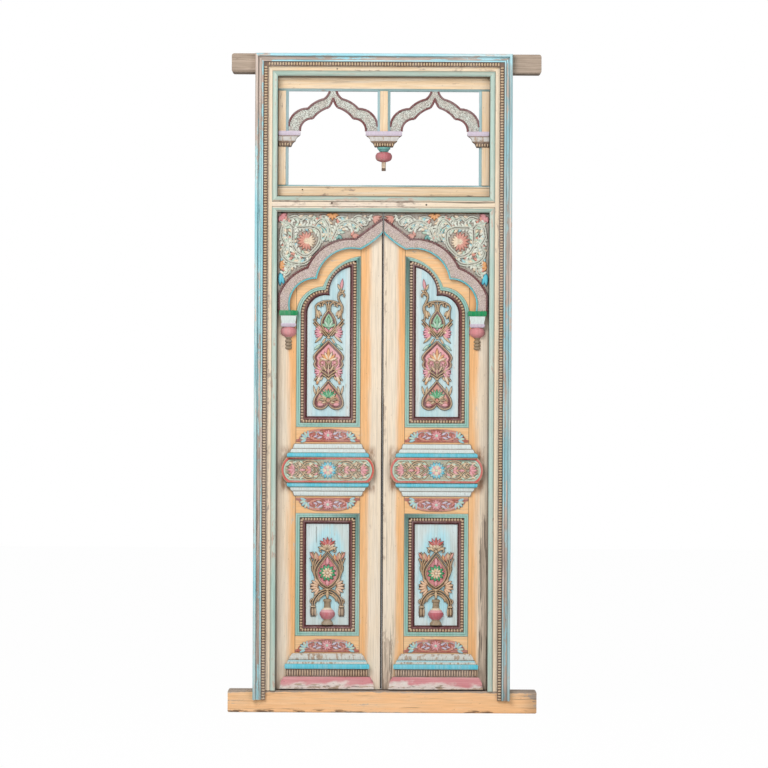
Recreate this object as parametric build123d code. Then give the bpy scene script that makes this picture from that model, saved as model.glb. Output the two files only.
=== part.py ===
from build123d import *
import math
import os

# Carved double-leaf temple door in its frame, with an open arched light above the leaves.
# Millimetres, +Z up. The carved face looks along -Y. The origin is under the sill, on the centreline.
# Pieces of a leaf are drawn for the right leaf, where X is the distance from the centreline.

overrun = 10.0

# Frame timbers
frame_depth = 100.0
opening_half_width = 386.0
sill_height = 80.0
sill_horn_left = 91.0
sill_horn_right = 98.0
sill_round = 6.0
doorway_height = 1743.0
transom_height = 58.0
light_height = 437.0
head_horn_left = 87.0
head_horn_right = 105.0
horn_round = 9.0
horn_rise = 13.0
horn_lap = 1.0
lip_depth = 30.0
rebate_width = 20.0
head_rebate = 12.0
tenon_length = 40.0
tenon_inset = 16.0

# Mouldings round the opening, from the inside out
bead_width = 20.0
bead_proud = 7.0
flat_width = 16.0
strip_width = 16.0
strip_depth = 12.0
strip_bead_proud = 4.0
strip_pitch = 10.0
strip_bead_top = 6.0
casing_width = 30.0
casing_depth = 26.0
casing_fillet_width = 6.0
casing_fillet_depth = 16.0
casing_cove_depth = 11.0
casing_round_width = 11.0
casing_lap = 33.0

# Arched light
light_depth = 36.0
light_top_rail_height = 51.0
light_bottom_rail_height = 43.0
light_stile_show = 38.0
light_chamfer = 9.0
light_tenon = 18.0
mullion_width = 47.0
mullion_length = 147.0
light_arch_thickness = 14.0
light_arch_border = 3.0
capital_slab_height = 17.0
capital_bell_height = 25.0
capital_beads_height = 15.0
capital_reach = 43.0
capital_bell_setback = 16.0
capital_bell_taper = 9.0
capital_beads_setback = 28.0
capital_beads_taper = 6.0
capital_proud = 15.0
capital_step = 5.0
capital_bead_pitch = 9.0
capital_bead_width = 5.5
capital_bead_proud = 3.0
pendant_neck_radius = 24.0
pendant_neck_foot_radius = 17.0
pendant_neck_height = 17.0
pendant_ball_radius = 30.5
pendant_ball_height = 37.0
pendant_peg_radius = 8.0
pendant_peg_length = 33.0

# Leaf timbers
leaf_thickness = 40.0
leaf_play = 2.0
leaf_floor_gap = 4.0
leaf_head_gap = 2.0
hinge_setback = 2.0
pin_radius = 14.0
pin_length = 25.0
pin_clearance = 0.1
pin_end_gap = 0.3
meeting_clearance = 0.3
meeting_splay = 4.9
meeting_stile_width = 80.5
hinge_stile_show = 70.0
bottom_rail_height = 193.0
lower_opening_height = 449.0
middle_rail_height = 313.0
upper_straight_height = 419.0
upper_arch_height = 207.0
leaf_tenon_length = 45.0
leaf_tenon_thickness = 13.0
panel_recess = 14.0
panel_thickness = 14.0
panel_tongue = 8.0

# Moulding round each panel
moulding_band_width = 15.0
moulding_bead_width = 13.0
moulding_cove_width = 12.0
moulding_band_proud = 3.0
moulding_bead_sunk = 6.0
moulding_cove_sunk = 10.0
moulding_bar_proud = 4.5
moulding_bar_width = 6.0
moulding_bar_pitch = 10.5

# Spandrel with its cusped arch, and the drop under the arch's foot
spandrel_head_gap = 3.0
spandrel_meeting_gap = 3.0
spandrel_hinge_gap = 2.0
spandrel_thickness = 12.0
arch_foot_level = 1381.0
arch_reach = 338.0
arch_rise = 285.0
arch_band_proud = 9.0
arch_rope_width = 7.0
arch_rope_proud = 12.0
arch_lip_width = 6.0
foliage_relief = 9.0
foliage_stroke = 9.0
foliage_petal_width = 12.5
foliage_petal_relief = 6.5
drop_distance = 42.0
drop_half_width = 34.0
drop_abacus_height = 20.0
drop_block_height = 41.0
drop_block_half_width = 28.0
drop_block_proud = 25.0
drop_bulb_radius = 29.0
drop_bulb_height = 34.0
drop_neck_radius = 16.0
drop_neck_height = 11.0
drop_stem_radius = 13.0
drop_stem_height = 36.0
drop_ring_count = 3

# Panel carvings
upper_carving_base = 26.0
upper_carving_height = 483.0
upper_carving_half_width = 52.0
lower_carving_base = 1.0
lower_carving_height = 324.0
lower_carving_half_width = 62.0
carving_relief = 15.0
carving_stroke = 8.5
carving_petal_width = 12.0
carving_petal_relief = 10.0
carving_fan_relief = 8.0
carving_ground_relief = 5.0
carving_ground_width = 31.0
tassel_width = 17.0
vase_proud = 21.0

# Band of mouldings across the middle of each leaf
band_middle = 157.5
cartouche_height = 93.0
cartouche_half_length = 171.0
cartouche_end_bulge = 24.0
cartouche_proud = 27.0
cartouche_rim = 8.0
cartouche_field_sunk = 4.0
cartouche_relief = 4.0
cartouche_stroke = 6.0
cartouche_petal_width = 8.0
cornice_blue_height = 17.0
cornice_blue_half_length = 149.0
cornice_blue_proud = 19.0
cornice_white_height = 33.0
cornice_white_half_length = 136.0
cornice_white_proud = 13.0
cornice_white_step = 15.0
cornice_cap_half_length = 127.0
cornice_cap_proud = 8.0
cornice_end_slope = 6.0

# Friezes carved in the rails
frieze_height = 52.0
frieze_half_width = 104.0
frieze_relief = 6.0
frieze_stroke = 7.0
frieze_petal_width = 10.0
frieze_gap = 3.0

# Plinth across the foot of each leaf
plinth_lift = 2.0
plinth_base_height = 44.0
plinth_base_half_length = 172.0
plinth_base_slope = 14.0
plinth_base_proud = 29.0
plinth_dentil_height = 29.0
plinth_dentil_half_length = 149.0
plinth_dentil_proud = 20.0
plinth_reed_pitch = 9.4
plinth_reed_width = 6.0
plinth_reed_proud = 4.0
plinth_strip_height = 17.0
plinth_strip_half_length = 154.0
plinth_strip_proud = 26.0
plinth_cornice_height = 38.0
plinth_cornice_half_length = 127.0
plinth_cornice_slope = 19.0
plinth_cornice_proud = 14.0
plinth_cornice_step = 19.0
plinth_cap_proud = 8.0

# Places that follow from the sizes
front = -frame_depth / 2
back = frame_depth / 2
lip_back = front + lip_depth
leaf_front = lip_back + leaf_play
leaf_back = leaf_front + leaf_thickness
jamb_inner = opening_half_width + rebate_width
architrave_width = bead_width + flat_width + strip_width + casing_width
outer_half_width = opening_half_width + architrave_width
transom_bottom = sill_height + doorway_height
transom_top = transom_bottom + transom_height
head_bottom = transom_top + light_height
head_top = head_bottom + architrave_width
leaf_bottom = sill_height + leaf_floor_gap
soffit = transom_bottom + head_rebate
leaf_top = soffit - leaf_head_gap
hinge_x = opening_half_width - hinge_setback
hinge_y = (leaf_front + leaf_back) / 2
hinge_stile_inner = opening_half_width - hinge_stile_show
column_middle = (meeting_stile_width + hinge_stile_inner) / 2
lower_opening_bottom = leaf_bottom + bottom_rail_height
lower_opening_top = lower_opening_bottom + lower_opening_height
upper_opening_bottom = lower_opening_top + middle_rail_height
upper_straight_top = upper_opening_bottom + upper_straight_height
panel_front = leaf_front + panel_recess
panel_back = panel_front + panel_thickness
moulding_width = moulding_band_width + moulding_bead_width + moulding_cove_width
light_front = leaf_front
light_back = light_front + light_depth
light_bottom = transom_top + light_bottom_rail_height
light_top = head_bottom - light_top_rail_height
light_stile_inner = opening_half_width - light_stile_show
mullion_half = mullion_width / 2
mullion_bottom = light_top - mullion_length
light_half_span = (light_stile_inner - mullion_half) / 2
light_middle = mullion_half + light_half_span
arch_foot = leaf_bottom + arch_foot_level
spandrel_top = transom_bottom - spandrel_head_gap
spandrel_side = opening_half_width - spandrel_hinge_gap

stroke_steps_per_point = 3


def timber(x0, x1, y0, y1, z0, z1):
    """A squared timber between two opposite corners."""
    middle = Pos((x0 + x1) / 2, (y0 + y1) / 2, (z0 + z1) / 2)
    return middle * Box(x1 - x0, y1 - y0, z1 - z0)


def polygon(points):
    """A flat face with straight sides."""
    return make_face(Polyline(*points, close=True))


def board(face, depth_back, depth_front):
    """A face drawn in X and Z, made wood from one depth to a nearer one."""
    return extrude(Plane.XZ.offset(-depth_back) * face, amount=depth_back - depth_front)


def joined(pieces):
    """Several overlapping or touching solids as one."""
    return Part() + list(pieces)


def other_side(piece):
    """The mirror image on the left of the centreline."""
    return mirror(piece, about=Plane.YZ)


def mix(a, b, share):
    """The point at a share of the way from a to b."""
    return (a[0] + (b[0] - a[0]) * share, a[1] + (b[1] - a[1]) * share)


def ribbon(points, start_width, end_width):
    """A flat stroke along a smooth line, tapering from one end to the other."""
    line = Spline(*points)
    steps = stroke_steps_per_point * (len(points) - 1)
    left, right = [], []
    for step in range(steps + 1):
        share = step / steps
        place, along = line @ share, line % share
        half = (start_width + (end_width - start_width) * share) / 2
        left.append((place.X - along.Y * half, place.Y + along.X * half))
        right.append((place.X + along.Y * half, place.Y - along.X * half))
    return polygon(left + right[::-1])


petal_outline_shares = [(0.0, 0.28), (0.35, 0.46), (0.62, 0.5), (0.85, 0.28), (1.0, 0.0)]


def petal(root, angle, length, width):
    """A pointed petal that grows from root."""
    turn = math.radians(angle)
    upper = [(s * length, w * width) for s, w in petal_outline_shares]
    lower = [(s, -w) for s, w in upper[-2::-1]]
    return polygon(
        [
            (
                root[0] + s * math.cos(turn) - w * math.sin(turn),
                root[1] + s * math.sin(turn) + w * math.cos(turn),
            )
            for s, w in upper + lower
        ]
    )


def fan(root, first_angle, last_angle, count, length, width):
    """Petals spread evenly between two angles."""
    step = (last_angle - first_angle) / (count - 1)
    return [petal(root, first_angle + step * i, length, width) for i in range(count)]


def rosette(middle, count, radius, width):
    """A round flower."""
    return fan(middle, 0, 360 - 360 / count, count, radius, width)


# Frame

bead_crown_share = 0.5


def bead_face(place, start):
    """Half-round bead section. place turns a width and a depth into a point."""
    edge_a = place(start, front)
    edge_b = place(start + bead_width, front)
    crown = place(start + bead_width * bead_crown_share, front - bead_proud)
    return make_face([ThreePointArc(edge_a, crown, edge_b), Line(edge_b, edge_a)])


def casing_face(place, start):
    """Section of the outer casing: a round at the outer edge, a hollow and a narrow fillet."""
    end = start + casing_width
    round_start = end - casing_round_width
    fillet_end = start + casing_fillet_width
    fillet_y = front - casing_fillet_depth
    crown_y = front - casing_depth
    foot = place(start, front)
    fillet_a = place(start, fillet_y)
    fillet_b = place(fillet_end, fillet_y)
    hollow = place((fillet_end + round_start) / 2, front - casing_cove_depth)
    hollow_end = place(round_start, fillet_y)
    round_y = crown_y + casing_round_width / 2
    round_a = place(round_start, round_y)
    crown = place((round_start + end) / 2, crown_y)
    round_b = place(end, round_y)
    heel = place(end, front)
    return make_face(
        [
            Line(foot, fillet_a),
            Line(fillet_a, fillet_b),
            ThreePointArc(fillet_b, hollow, hollow_end),
            Line(hollow_end, round_a),
            ThreePointArc(round_a, crown, round_b),
            Line(round_b, heel),
            Line(heel, foot),
        ]
    )


def upright_place(width, depth):
    return (width, depth, 0)


def head_place(width, depth):
    return (0, depth, width - opening_half_width + head_bottom)


def upright(face, z0, z1):
    """A moulding that runs up from z0 to z1."""
    return Pos(0, 0, z0) * extrude(face, amount=z1 - z0, dir=(0, 0, 1))


def across(face, half_length):
    """A moulding that runs along X, centred."""
    return Pos(-half_length, 0, 0) * extrude(face, amount=2 * half_length, dir=(1, 0, 0))


def mitre_half():
    """Everything in the frame's front that belongs to the right-hand uprights at the top corner."""
    reach = architrave_width + overrun
    corner = (opening_half_width, head_bottom)
    far = (opening_half_width + reach, head_bottom + reach)
    foot = (opening_half_width + reach, 0)
    region = polygon([corner, far, foot, (opening_half_width, 0)])
    return board(region, lip_back, front - casing_depth - overrun)


def arrow(sign, margin):
    """The transom's pointed end on one side, which the jamb is notched for."""
    tip = sign * (opening_half_width + bead_width)
    root = sign * (opening_half_width - margin)
    step = opening_half_width + bead_width - (opening_half_width - margin)
    return [
        (root, transom_bottom - margin),
        (tip, transom_bottom - margin + step),
        (tip, transom_top + margin - step),
        (root, transom_top + margin),
    ]


def transom_outline():
    right = arrow(1, 0)
    left = arrow(-1, 0)
    return polygon(right + left[::-1])


def jamb_tenon(z0, z1):
    return timber(
        jamb_inner + tenon_inset,
        outer_half_width - tenon_inset,
        lip_back + tenon_inset,
        back - tenon_inset,
        z0,
        z1,
    )


def transom_tenon():
    return timber(
        jamb_inner,
        jamb_inner + tenon_length,
        lip_back + tenon_inset,
        back - tenon_inset,
        soffit + tenon_inset / 2,
        transom_top - tenon_inset / 2,
    )


def jamb():
    post = timber(jamb_inner, outer_half_width, lip_back, back, sill_height, head_bottom)
    face = timber(opening_half_width, outer_half_width, front, lip_back, sill_height, head_top)
    bead = upright(bead_face(upright_place, opening_half_width), sill_height, head_top)
    under_horn = timber(
        outer_half_width - horn_lap, outer_half_width, front, lip_back, head_bottom, head_top
    )
    moulded = ((face + bead) & mitre_half()) - under_horn
    notch = board(transom_outline(), lip_back, front - bead_proud - overrun)
    foot = jamb_tenon(sill_height - tenon_length, sill_height)
    top = jamb_tenon(head_bottom, head_bottom + tenon_length)
    return joined([post, moulded - notch, foot, top]) - transom_tenon()


def head_beam():
    left_end = -outer_half_width - head_horn_left
    right_end = outer_half_width + head_horn_right
    horns = timber(left_end, right_end, front, back, head_bottom + horn_rise, head_top)
    ends = horns.edges().filter_by(Axis.Y).group_by(Axis.X)
    horns = fillet(ends[0] + ends[-1], horn_round)
    beam = horns + timber(-outer_half_width, outer_half_width, front, back, head_bottom, head_top)
    lap = outer_half_width - horn_lap
    bead = across(bead_face(head_place, opening_half_width), lap)
    corner = mitre_half() & timber(
        0, lap, front - casing_depth, lip_back, head_bottom - overrun, head_top + overrun
    )
    whole = beam + bead - corner - other_side(corner)
    mortise = jamb_tenon(head_bottom, head_bottom + tenon_length)
    return whole - mortise - other_side(mortise)


def socket(z0, z1):
    bore = Pos(hinge_x, hinge_y, z0) * Cylinder(
        pin_radius + pin_clearance, z1 - z0, align=(Align.CENTER, Align.CENTER, Align.MIN)
    )
    return bore


def sill_beam():
    left_end = -outer_half_width - sill_horn_left
    right_end = outer_half_width + sill_horn_right
    beam = timber(left_end, right_end, front, back, 0, sill_height)
    long_edges = beam.edges().filter_by(Axis.X).group_by(Axis.Y)[0]
    ends = beam.edges().filter_by(Axis.Y).group_by(Axis.X)
    beam = fillet(long_edges + ends[0] + ends[-1], sill_round)
    bore = socket(sill_height - pin_length - pin_end_gap, sill_height + overrun)
    mortise = jamb_tenon(sill_height - tenon_length, sill_height)
    cuts = [bore, other_side(bore), mortise, other_side(mortise)]
    return beam - cuts


def transom_beam():
    fascia = board(transom_outline(), lip_back, front)
    beam = timber(-jamb_inner, jamb_inner, lip_back, back, soffit, transom_top)
    rows = []
    for start in (transom_bottom, transom_top - bead_width):

        def row_place(width, depth, start=start):
            return (0, depth, width - opening_half_width + start)

        rows.append(across(bead_face(row_place, opening_half_width), jamb_inner))
    mask = board(transom_outline(), front, front - bead_proud - overrun)
    beads = joined(rows) & mask
    tenon = transom_tenon()
    bore = socket(soffit - overrun, soffit + pin_length + leaf_head_gap)
    whole = joined([fascia, beam, tenon, other_side(tenon)] + list(beads.solids()))
    return whole - bore - other_side(bore)


def casing_upright():
    bar = upright(
        casing_face(upright_place, opening_half_width + bead_width + flat_width + strip_width),
        sill_height - casing_lap,
        head_top,
    )
    return bar & mitre_half()


def casing_head():
    start = opening_half_width + bead_width + flat_width + strip_width
    bar = across(casing_face(head_place, start), outer_half_width)
    return bar - mitre_half() - other_side(mitre_half())


strip_start = opening_half_width + bead_width + flat_width


def strip_outline(first, last, swap):
    """Side view of a bead strip: little rolls, one after the other, on a flat base."""
    count = round((last - first) / strip_pitch)
    pitch = (last - first) / count
    base, top = front - strip_depth, front - strip_depth - strip_bead_proud
    shoulder = (pitch - strip_bead_top) / 2
    points = [(first, front), (first, base)]
    for i in range(count):
        begin = first + i * pitch
        points += [(begin + shoulder, top), (begin + pitch - shoulder, top), (begin + pitch, base)]
    points.append((last, front))
    if swap:
        return [(0, depth, along) for along, depth in points]
    return [(along, depth, 0) for along, depth in points]


def strip_upright():
    face = polygon(strip_outline(sill_height - casing_lap, head_top - casing_width, True))
    bar = Pos(strip_start, 0, 0) * extrude(face, amount=strip_width, dir=(1, 0, 0))
    return bar & mitre_half()


def strip_head():
    end = strip_start + strip_width
    level = head_bottom + bead_width + flat_width
    face = polygon(strip_outline(-end, end, False))
    bar = Pos(0, 0, level) * extrude(face, amount=strip_width, dir=(0, 0, 1))
    return bar - mitre_half() - other_side(mitre_half())


# Arched light


def light_rail(z0, z1, chamfered_top):
    """Long rail of the light, with a chamfer along the edge that borders the opening."""
    c = light_chamfer
    near, far = (z1, z0) if chamfered_top else (z0, z1)
    shoulder = near - c if chamfered_top else near + c
    section = [
        (light_front, far),
        (light_front, shoulder),
        (light_front + c, near),
        (light_back, near),
        (light_back, far),
    ]
    face = polygon([(0, y, z) for y, z in section])
    return across(face, jamb_inner)


def light_tenon_block(x0, x1, z0, z1):
    inset = light_depth / 3
    return timber(x0, x1, light_front + inset, light_back - inset, z0, z1)


def stile_tenons():
    inset = light_stile_show / 3
    x0, x1 = light_stile_inner + inset, jamb_inner - inset
    return [
        light_tenon_block(x0, x1, light_top, light_top + light_tenon),
        light_tenon_block(x0, x1, light_bottom - light_tenon, light_bottom),
    ]


def mullion_tenon():
    half = mullion_half / 2
    return light_tenon_block(-half, half, light_top, light_top + light_tenon)


def light_stile():
    c = light_chamfer
    section = [
        (jamb_inner, light_front),
        (light_stile_inner + c, light_front),
        (light_stile_inner, light_front + c),
        (light_stile_inner, light_back),
        (jamb_inner, light_back),
    ]
    bar = upright(polygon([(x, y, 0) for x, y in section]), light_bottom, light_top)
    return joined([bar] + stile_tenons())


def light_mullion():
    c = light_chamfer
    section = [
        (-mullion_half + c, light_front),
        (mullion_half - c, light_front),
        (mullion_half, light_front + c),
        (mullion_half, light_back),
        (-mullion_half, light_back),
        (-mullion_half, light_front + c),
    ]
    bar = upright(polygon([(x, y, 0) for x, y in section]), mullion_bottom, light_top)
    return joined([bar, mullion_tenon()])


light_arch_inner_shares = [
    [(0.742, 0.0), (0.675, 0.22), (0.458, 0.317)],
    [(0.458, 0.317), (0.33, 0.465), (0.10, 0.595)],
    [(0.10, 0.595), (0.04, 0.70), (0.0, 0.83)],
]
light_arch_outer_shares = [
    [(0.079, 1.0), (0.125, 0.885), (0.207, 0.80)],
    [(0.207, 0.80), (0.40, 0.715), (0.566, 0.563)],
    [(0.566, 0.563), (0.85, 0.455), (1.0, 0.12)],
]


light_arch_steps = 6


def arc_line(arc, inset):
    """Points along an arc, set in from it to its right, for an outline with straight sides."""
    points = []
    for step in range(light_arch_steps + 1):
        place, along = arc @ (step / light_arch_steps), arc % (step / light_arch_steps)
        points.append((place.X + along.Y * inset, max(place.Y - along.X * inset, mullion_bottom)))
    return points


def light_arch():
    """Half of a cusped arch, from the capital up to the top rail, for the right of an arch's middle."""

    def at(point):
        return (point[0] * light_half_span, mullion_bottom + point[1] * mullion_length)

    inner = [ThreePointArc(*[at(p) for p in arc]) for arc in light_arch_inner_shares]
    outer = [ThreePointArc(*[at(p) for p in arc]) for arc in light_arch_outer_shares]
    outline = []
    for arc in inner:
        outline += arc_line(arc, 0)[:-1]
    outline += [arc_line(inner[-1], 0)[-1], at((0.0, 1.0))]
    for arc in outer:
        outline += arc_line(arc, 0)[:-1]
    outline += [arc_line(outer[-1], 0)[-1], at((1.0, 0.0))]
    middle = (light_front + light_back) / 2
    plate_back, plate_front = middle + light_arch_thickness / 2, middle - light_arch_thickness / 2
    rims = [polygon(arc_line(arc, 0) + arc_line(arc, light_arch_border)[::-1]) for arc in inner]
    edge, inset_edge = [], []
    for arc in outer:
        edge += arc_line(arc, 0)[:-1]
        inset_edge += arc_line(arc, light_arch_border)
    edge.append(arc_line(outer[-1], 0)[-1])
    rims.append(polygon(edge + inset_edge[::-1]))
    plate = board(polygon(outline), plate_back, plate_front)
    return joined([plate] + [board(rim, plate_front, plate_front - light_arch_border) for rim in rims])


def capital(x0, x1, left_step, right_step):
    """A moulded capital: slab, bell and a row of beads. A side with a step of 1 narrows going down."""
    slab_bottom = mullion_bottom - capital_slab_height
    bell_bottom = slab_bottom - capital_bell_height
    beads_bottom = bell_bottom - capital_beads_height
    slab_front, slab_back = light_front - capital_proud, light_back
    bell_front = slab_front + capital_step
    beads_front = bell_front + capital_step

    def tapered(z1, z0, setback, taper):
        top = (x0 + left_step * setback, x1 - right_step * setback)
        low = (top[0] + left_step * taper, top[1] - right_step * taper)
        return polygon([(top[0], z1), (top[1], z1), (low[1], z0), (low[0], z0)])

    slab = timber(x0, x1, slab_front, slab_back, slab_bottom, mullion_bottom)
    bell_side = tapered(slab_bottom, bell_bottom, capital_bell_setback, capital_bell_taper)
    bell = board(bell_side, slab_back, bell_front)
    row = tapered(bell_bottom, beads_bottom, capital_beads_setback, capital_beads_taper)
    beads = board(row, slab_back, beads_front)
    low_x0 = x0 + left_step * (capital_beads_setback + capital_beads_taper)
    low_x1 = x1 - right_step * (capital_beads_setback + capital_beads_taper)
    count = int((low_x1 - low_x0) / capital_bead_pitch)
    pitch = (low_x1 - low_x0) / count
    bars = []
    for i in range(count):
        middle = low_x0 + (i + 0.5) * pitch
        bars.append(
            timber(
                middle - capital_bead_width / 2,
                middle + capital_bead_width / 2,
                beads_front - capital_bead_proud,
                beads_front,
                beads_bottom,
                bell_bottom,
            )
        )
    return joined([slab, bell, beads] + bars)


def pendant_capital():
    reach = mullion_half + capital_reach
    return capital(-reach, reach, 1, 1)


def side_capital():
    reach = light_stile_inner - capital_reach
    whole = capital(reach, opening_half_width - leaf_play, 1, 0)
    stile = timber(
        light_stile_inner, jamb_inner, light_front, light_back + overrun, light_bottom, light_top
    )
    return whole - stile


def pendant_drop():
    """Turned drop: neck, ball and peg."""
    top = mullion_bottom - capital_slab_height - capital_bell_height - capital_beads_height
    neck = top - pendant_neck_height
    ball = neck - pendant_ball_height
    tip = ball - pendant_peg_length
    middle = (neck + ball) / 2
    belly = (pendant_ball_radius, middle)
    profile = make_face(
        [
            Line((0, tip), (pendant_peg_radius, tip)),
            Line((pendant_peg_radius, tip), (pendant_peg_radius, ball)),
            ThreePointArc((pendant_peg_radius, ball), belly, (pendant_peg_radius, neck)),
            Line((pendant_peg_radius, neck), (pendant_neck_foot_radius, neck)),
            Line((pendant_neck_foot_radius, neck), (pendant_neck_radius, top)),
            Line((pendant_neck_radius, top), (0, top)),
            Line((0, top), (0, tip)),
        ]
    )
    turned = revolve(Plane.XZ * profile, axis=Axis.Z)
    return Pos(0, (light_front - capital_proud + light_back) / 2, 0) * turned


# Leaf timbers


def panel_box(z0, z1):
    return timber(
        meeting_stile_width - panel_tongue,
        hinge_stile_inner + panel_tongue,
        panel_front,
        panel_back,
        z0 - panel_tongue,
        z1 + panel_tongue,
    )


def upper_panel():
    return panel_box(upper_opening_bottom, upper_straight_top + upper_arch_height)


def lower_panel():
    return panel_box(lower_opening_bottom, lower_opening_top)


top_rail_tenon_shares = (0.25, 0.85)
rail_tenon_shares = (0.2, 0.8)


def tenon_span(z0, z1, shares):
    """Two tenons of a rail, one into each stile."""
    low, high = (z0 + (z1 - z0) * share for share in shares)
    y0 = hinge_y - leaf_tenon_thickness / 2
    y1 = hinge_y + leaf_tenon_thickness / 2
    return [
        timber(meeting_stile_width - leaf_tenon_length, meeting_stile_width, y0, y1, low, high),
        timber(hinge_stile_inner, hinge_stile_inner + leaf_tenon_length, y0, y1, low, high),
    ]


def rail_tenons():
    rails = [
        (upper_straight_top + upper_arch_height, leaf_top, top_rail_tenon_shares),
        (lower_opening_top, upper_opening_bottom, rail_tenon_shares),
        (leaf_bottom, lower_opening_bottom, rail_tenon_shares),
    ]
    return [tenon_span(*rail) for rail in rails]


def hinge_stile():
    """Outer stile: a round heel about the hinge line, and a pivot pin at each end."""
    heel = leaf_thickness / 2
    bar = timber(hinge_stile_inner, hinge_x, leaf_front, leaf_back, leaf_bottom, leaf_top)
    round_heel = Pos(hinge_x, hinge_y, leaf_bottom) * Cylinder(
        heel, leaf_top - leaf_bottom, align=(Align.CENTER, Align.CENTER, Align.MIN)
    )
    low = sill_height - pin_length
    pin = Pos(hinge_x, hinge_y, low) * Cylinder(
        pin_radius, soffit + pin_length - low, align=(Align.CENTER, Align.CENTER, Align.MIN)
    )
    whole = joined([bar, round_heel, pin])
    mortises = [pair[1] for pair in rail_tenons()]
    return whole - [upper_panel(), lower_panel()] - mortises


def meeting_stile(edge_front, edge_back):
    """Inner stile. Its splayed edge runs from one distance at the front to another at the back."""
    section = [
        (edge_front, leaf_front, 0),
        (meeting_stile_width, leaf_front, 0),
        (meeting_stile_width, leaf_back, 0),
        (edge_back, leaf_back, 0),
    ]
    bar = upright(polygon(section), leaf_bottom, leaf_top)
    mortises = [pair[0] for pair in rail_tenons()]
    return bar - [upper_panel(), lower_panel()] - mortises


# Cusped head of the upper opening, at the outer and inner edge of its moulding
opening_outer_shares = [(0.0, 1.0), (0.353, 0.836), (0.591, 0.462), (0.841, 0.355), (1.0, 0.0)]
opening_inner_shares = [(0.17, 0.80), (0.365, 0.69), (0.486, 0.30), (0.71, 0.245), (0.83, 0.0)]


def opening_edges(share):
    """Edges of the upper opening, at a share of the way across its moulding."""
    width = hinge_stile_inner - meeting_stile_width
    inset = moulding_width * share
    points = []
    for outer, inner in zip(opening_outer_shares, opening_inner_shares):
        x_share, z_share = mix(outer, inner, share)
        x = meeting_stile_width + x_share * width
        points.append((x, upper_straight_top + z_share * upper_arch_height))
    start, lobe_a, cusp, lobe_b, end = points
    bottom = upper_opening_bottom + inset
    return [
        ThreePointArc(start, lobe_a, cusp),
        ThreePointArc(cusp, lobe_b, end),
        Line(end, (end[0], bottom)),
        Line((end[0], bottom), (start[0], bottom)),
        Line((start[0], bottom), start),
    ]


def lower_edges(share):
    inset = moulding_width * share
    x0, x1 = meeting_stile_width + inset, hinge_stile_inner - inset
    z0, z1 = lower_opening_bottom + inset, lower_opening_top - inset
    corners = [(x0, z1), (x1, z1), (x1, z0), (x0, z0)]
    return [Line(corners[i], corners[(i + 1) % 4]) for i in range(4)]


def bead_bars(edges):
    """The moulding's little rolls, set square across a line of edges."""
    base = leaf_front + moulding_bead_sunk
    bars = []
    for edge in edges:
        count = int(edge.length / moulding_bar_pitch)
        for i in range(count):
            share = (i + 0.5) / count
            place, along = edge @ share, edge % share
            angle = math.degrees(math.atan2(along.Y, along.X))
            bar = Box(moulding_bar_width, 2 * moulding_bar_proud, moulding_bead_width)
            bars.append(Pos(place.X, base, place.Y) * Rot(0, -angle, 0) * bar)
    return bars


def panel_moulding(edges_at):
    """Stepped moulding round a panel: flat band, row of rolls and inner step, as one piece."""
    band = moulding_band_width / moulding_width
    bead = (moulding_band_width + moulding_bead_width) / moulding_width
    faces = [make_face(edges_at(share)) for share in (0.0, band, bead, 1.0)]
    fronts = [
        leaf_front - moulding_band_proud,
        leaf_front + moulding_bead_sunk,
        leaf_front + moulding_cove_sunk,
    ]
    rings = [board(faces[i] - faces[i + 1], panel_front, fronts[i]) for i in range(3)]
    return joined(rings + bead_bars(edges_at((band + bead) / 2)))


# Carving


def carved(faces, depth_back, depth_front):
    """Flat shapes cut to one height and joined."""
    return [board(face, depth_back, depth_front) for face in faces]


upper_stroke_shares = [
    [(0.0, 0.215), (0.30, 0.178), (0.70, 0.125), (0.93, 0.072), (0.86, 0.026), (0.58, 0.012)]
    + [(0.22, 0.022), (0.0, 0.06)],
    [(0.0, 0.055), (0.30, 0.088), (0.56, 0.082), (0.60, 0.052)],
    [(0.86, 0.10), (0.84, 0.135), (0.96, 0.165)],
    [(-0.12, 0.205), (0.14, 0.272), (0.52, 0.300), (0.86, 0.340), (0.90, 0.385), (0.66, 0.428)]
    + [(0.30, 0.470), (0.0, 0.515)],
    [(0.0, 0.300), (0.10, 0.345), (0.38, 0.378), (0.58, 0.362), (0.50, 0.335)],
    [(0.05, 0.265), (0.40, 0.250), (0.72, 0.215), (0.86, 0.200)],
    [(0.0, 0.500), (0.20, 0.535), (0.55, 0.520), (0.92, 0.470)],
    [(0.0, 0.505), (0.10, 0.555), (0.50, 0.615), (0.94, 0.665)],
    [(0.0, 0.545), (0.26, 0.620), (0.40, 0.675), (0.24, 0.725), (0.0, 0.785)],
    [(0.36, 0.600), (0.74, 0.665), (0.92, 0.730), (0.86, 0.790), (0.52, 0.815)]
    + [(0.34, 0.785), (0.50, 0.762)],
    [(0.0, 0.770), (0.16, 0.800), (0.42, 0.812)],
]
upper_lone_shares = [
    [(0.80, 0.790), (0.88, 0.845), (0.62, 0.890), (0.66, 0.935), (0.86, 0.985)],
    [(0.72, 0.868), (0.92, 0.885), (0.90, 0.915)],
]
upper_fan_shares = [
    (0.40, 0.585, 0, 36, 3, 0.58),
    (0.40, 0.300, -14, 24, 3, 0.58),
]
upper_palmette_shares = [(0.0, 0.075, 5, 0.62), (0.0, 0.375, 5, 0.80)]
upper_almond_shares = (0.595, 0.115, 0.52)


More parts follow.
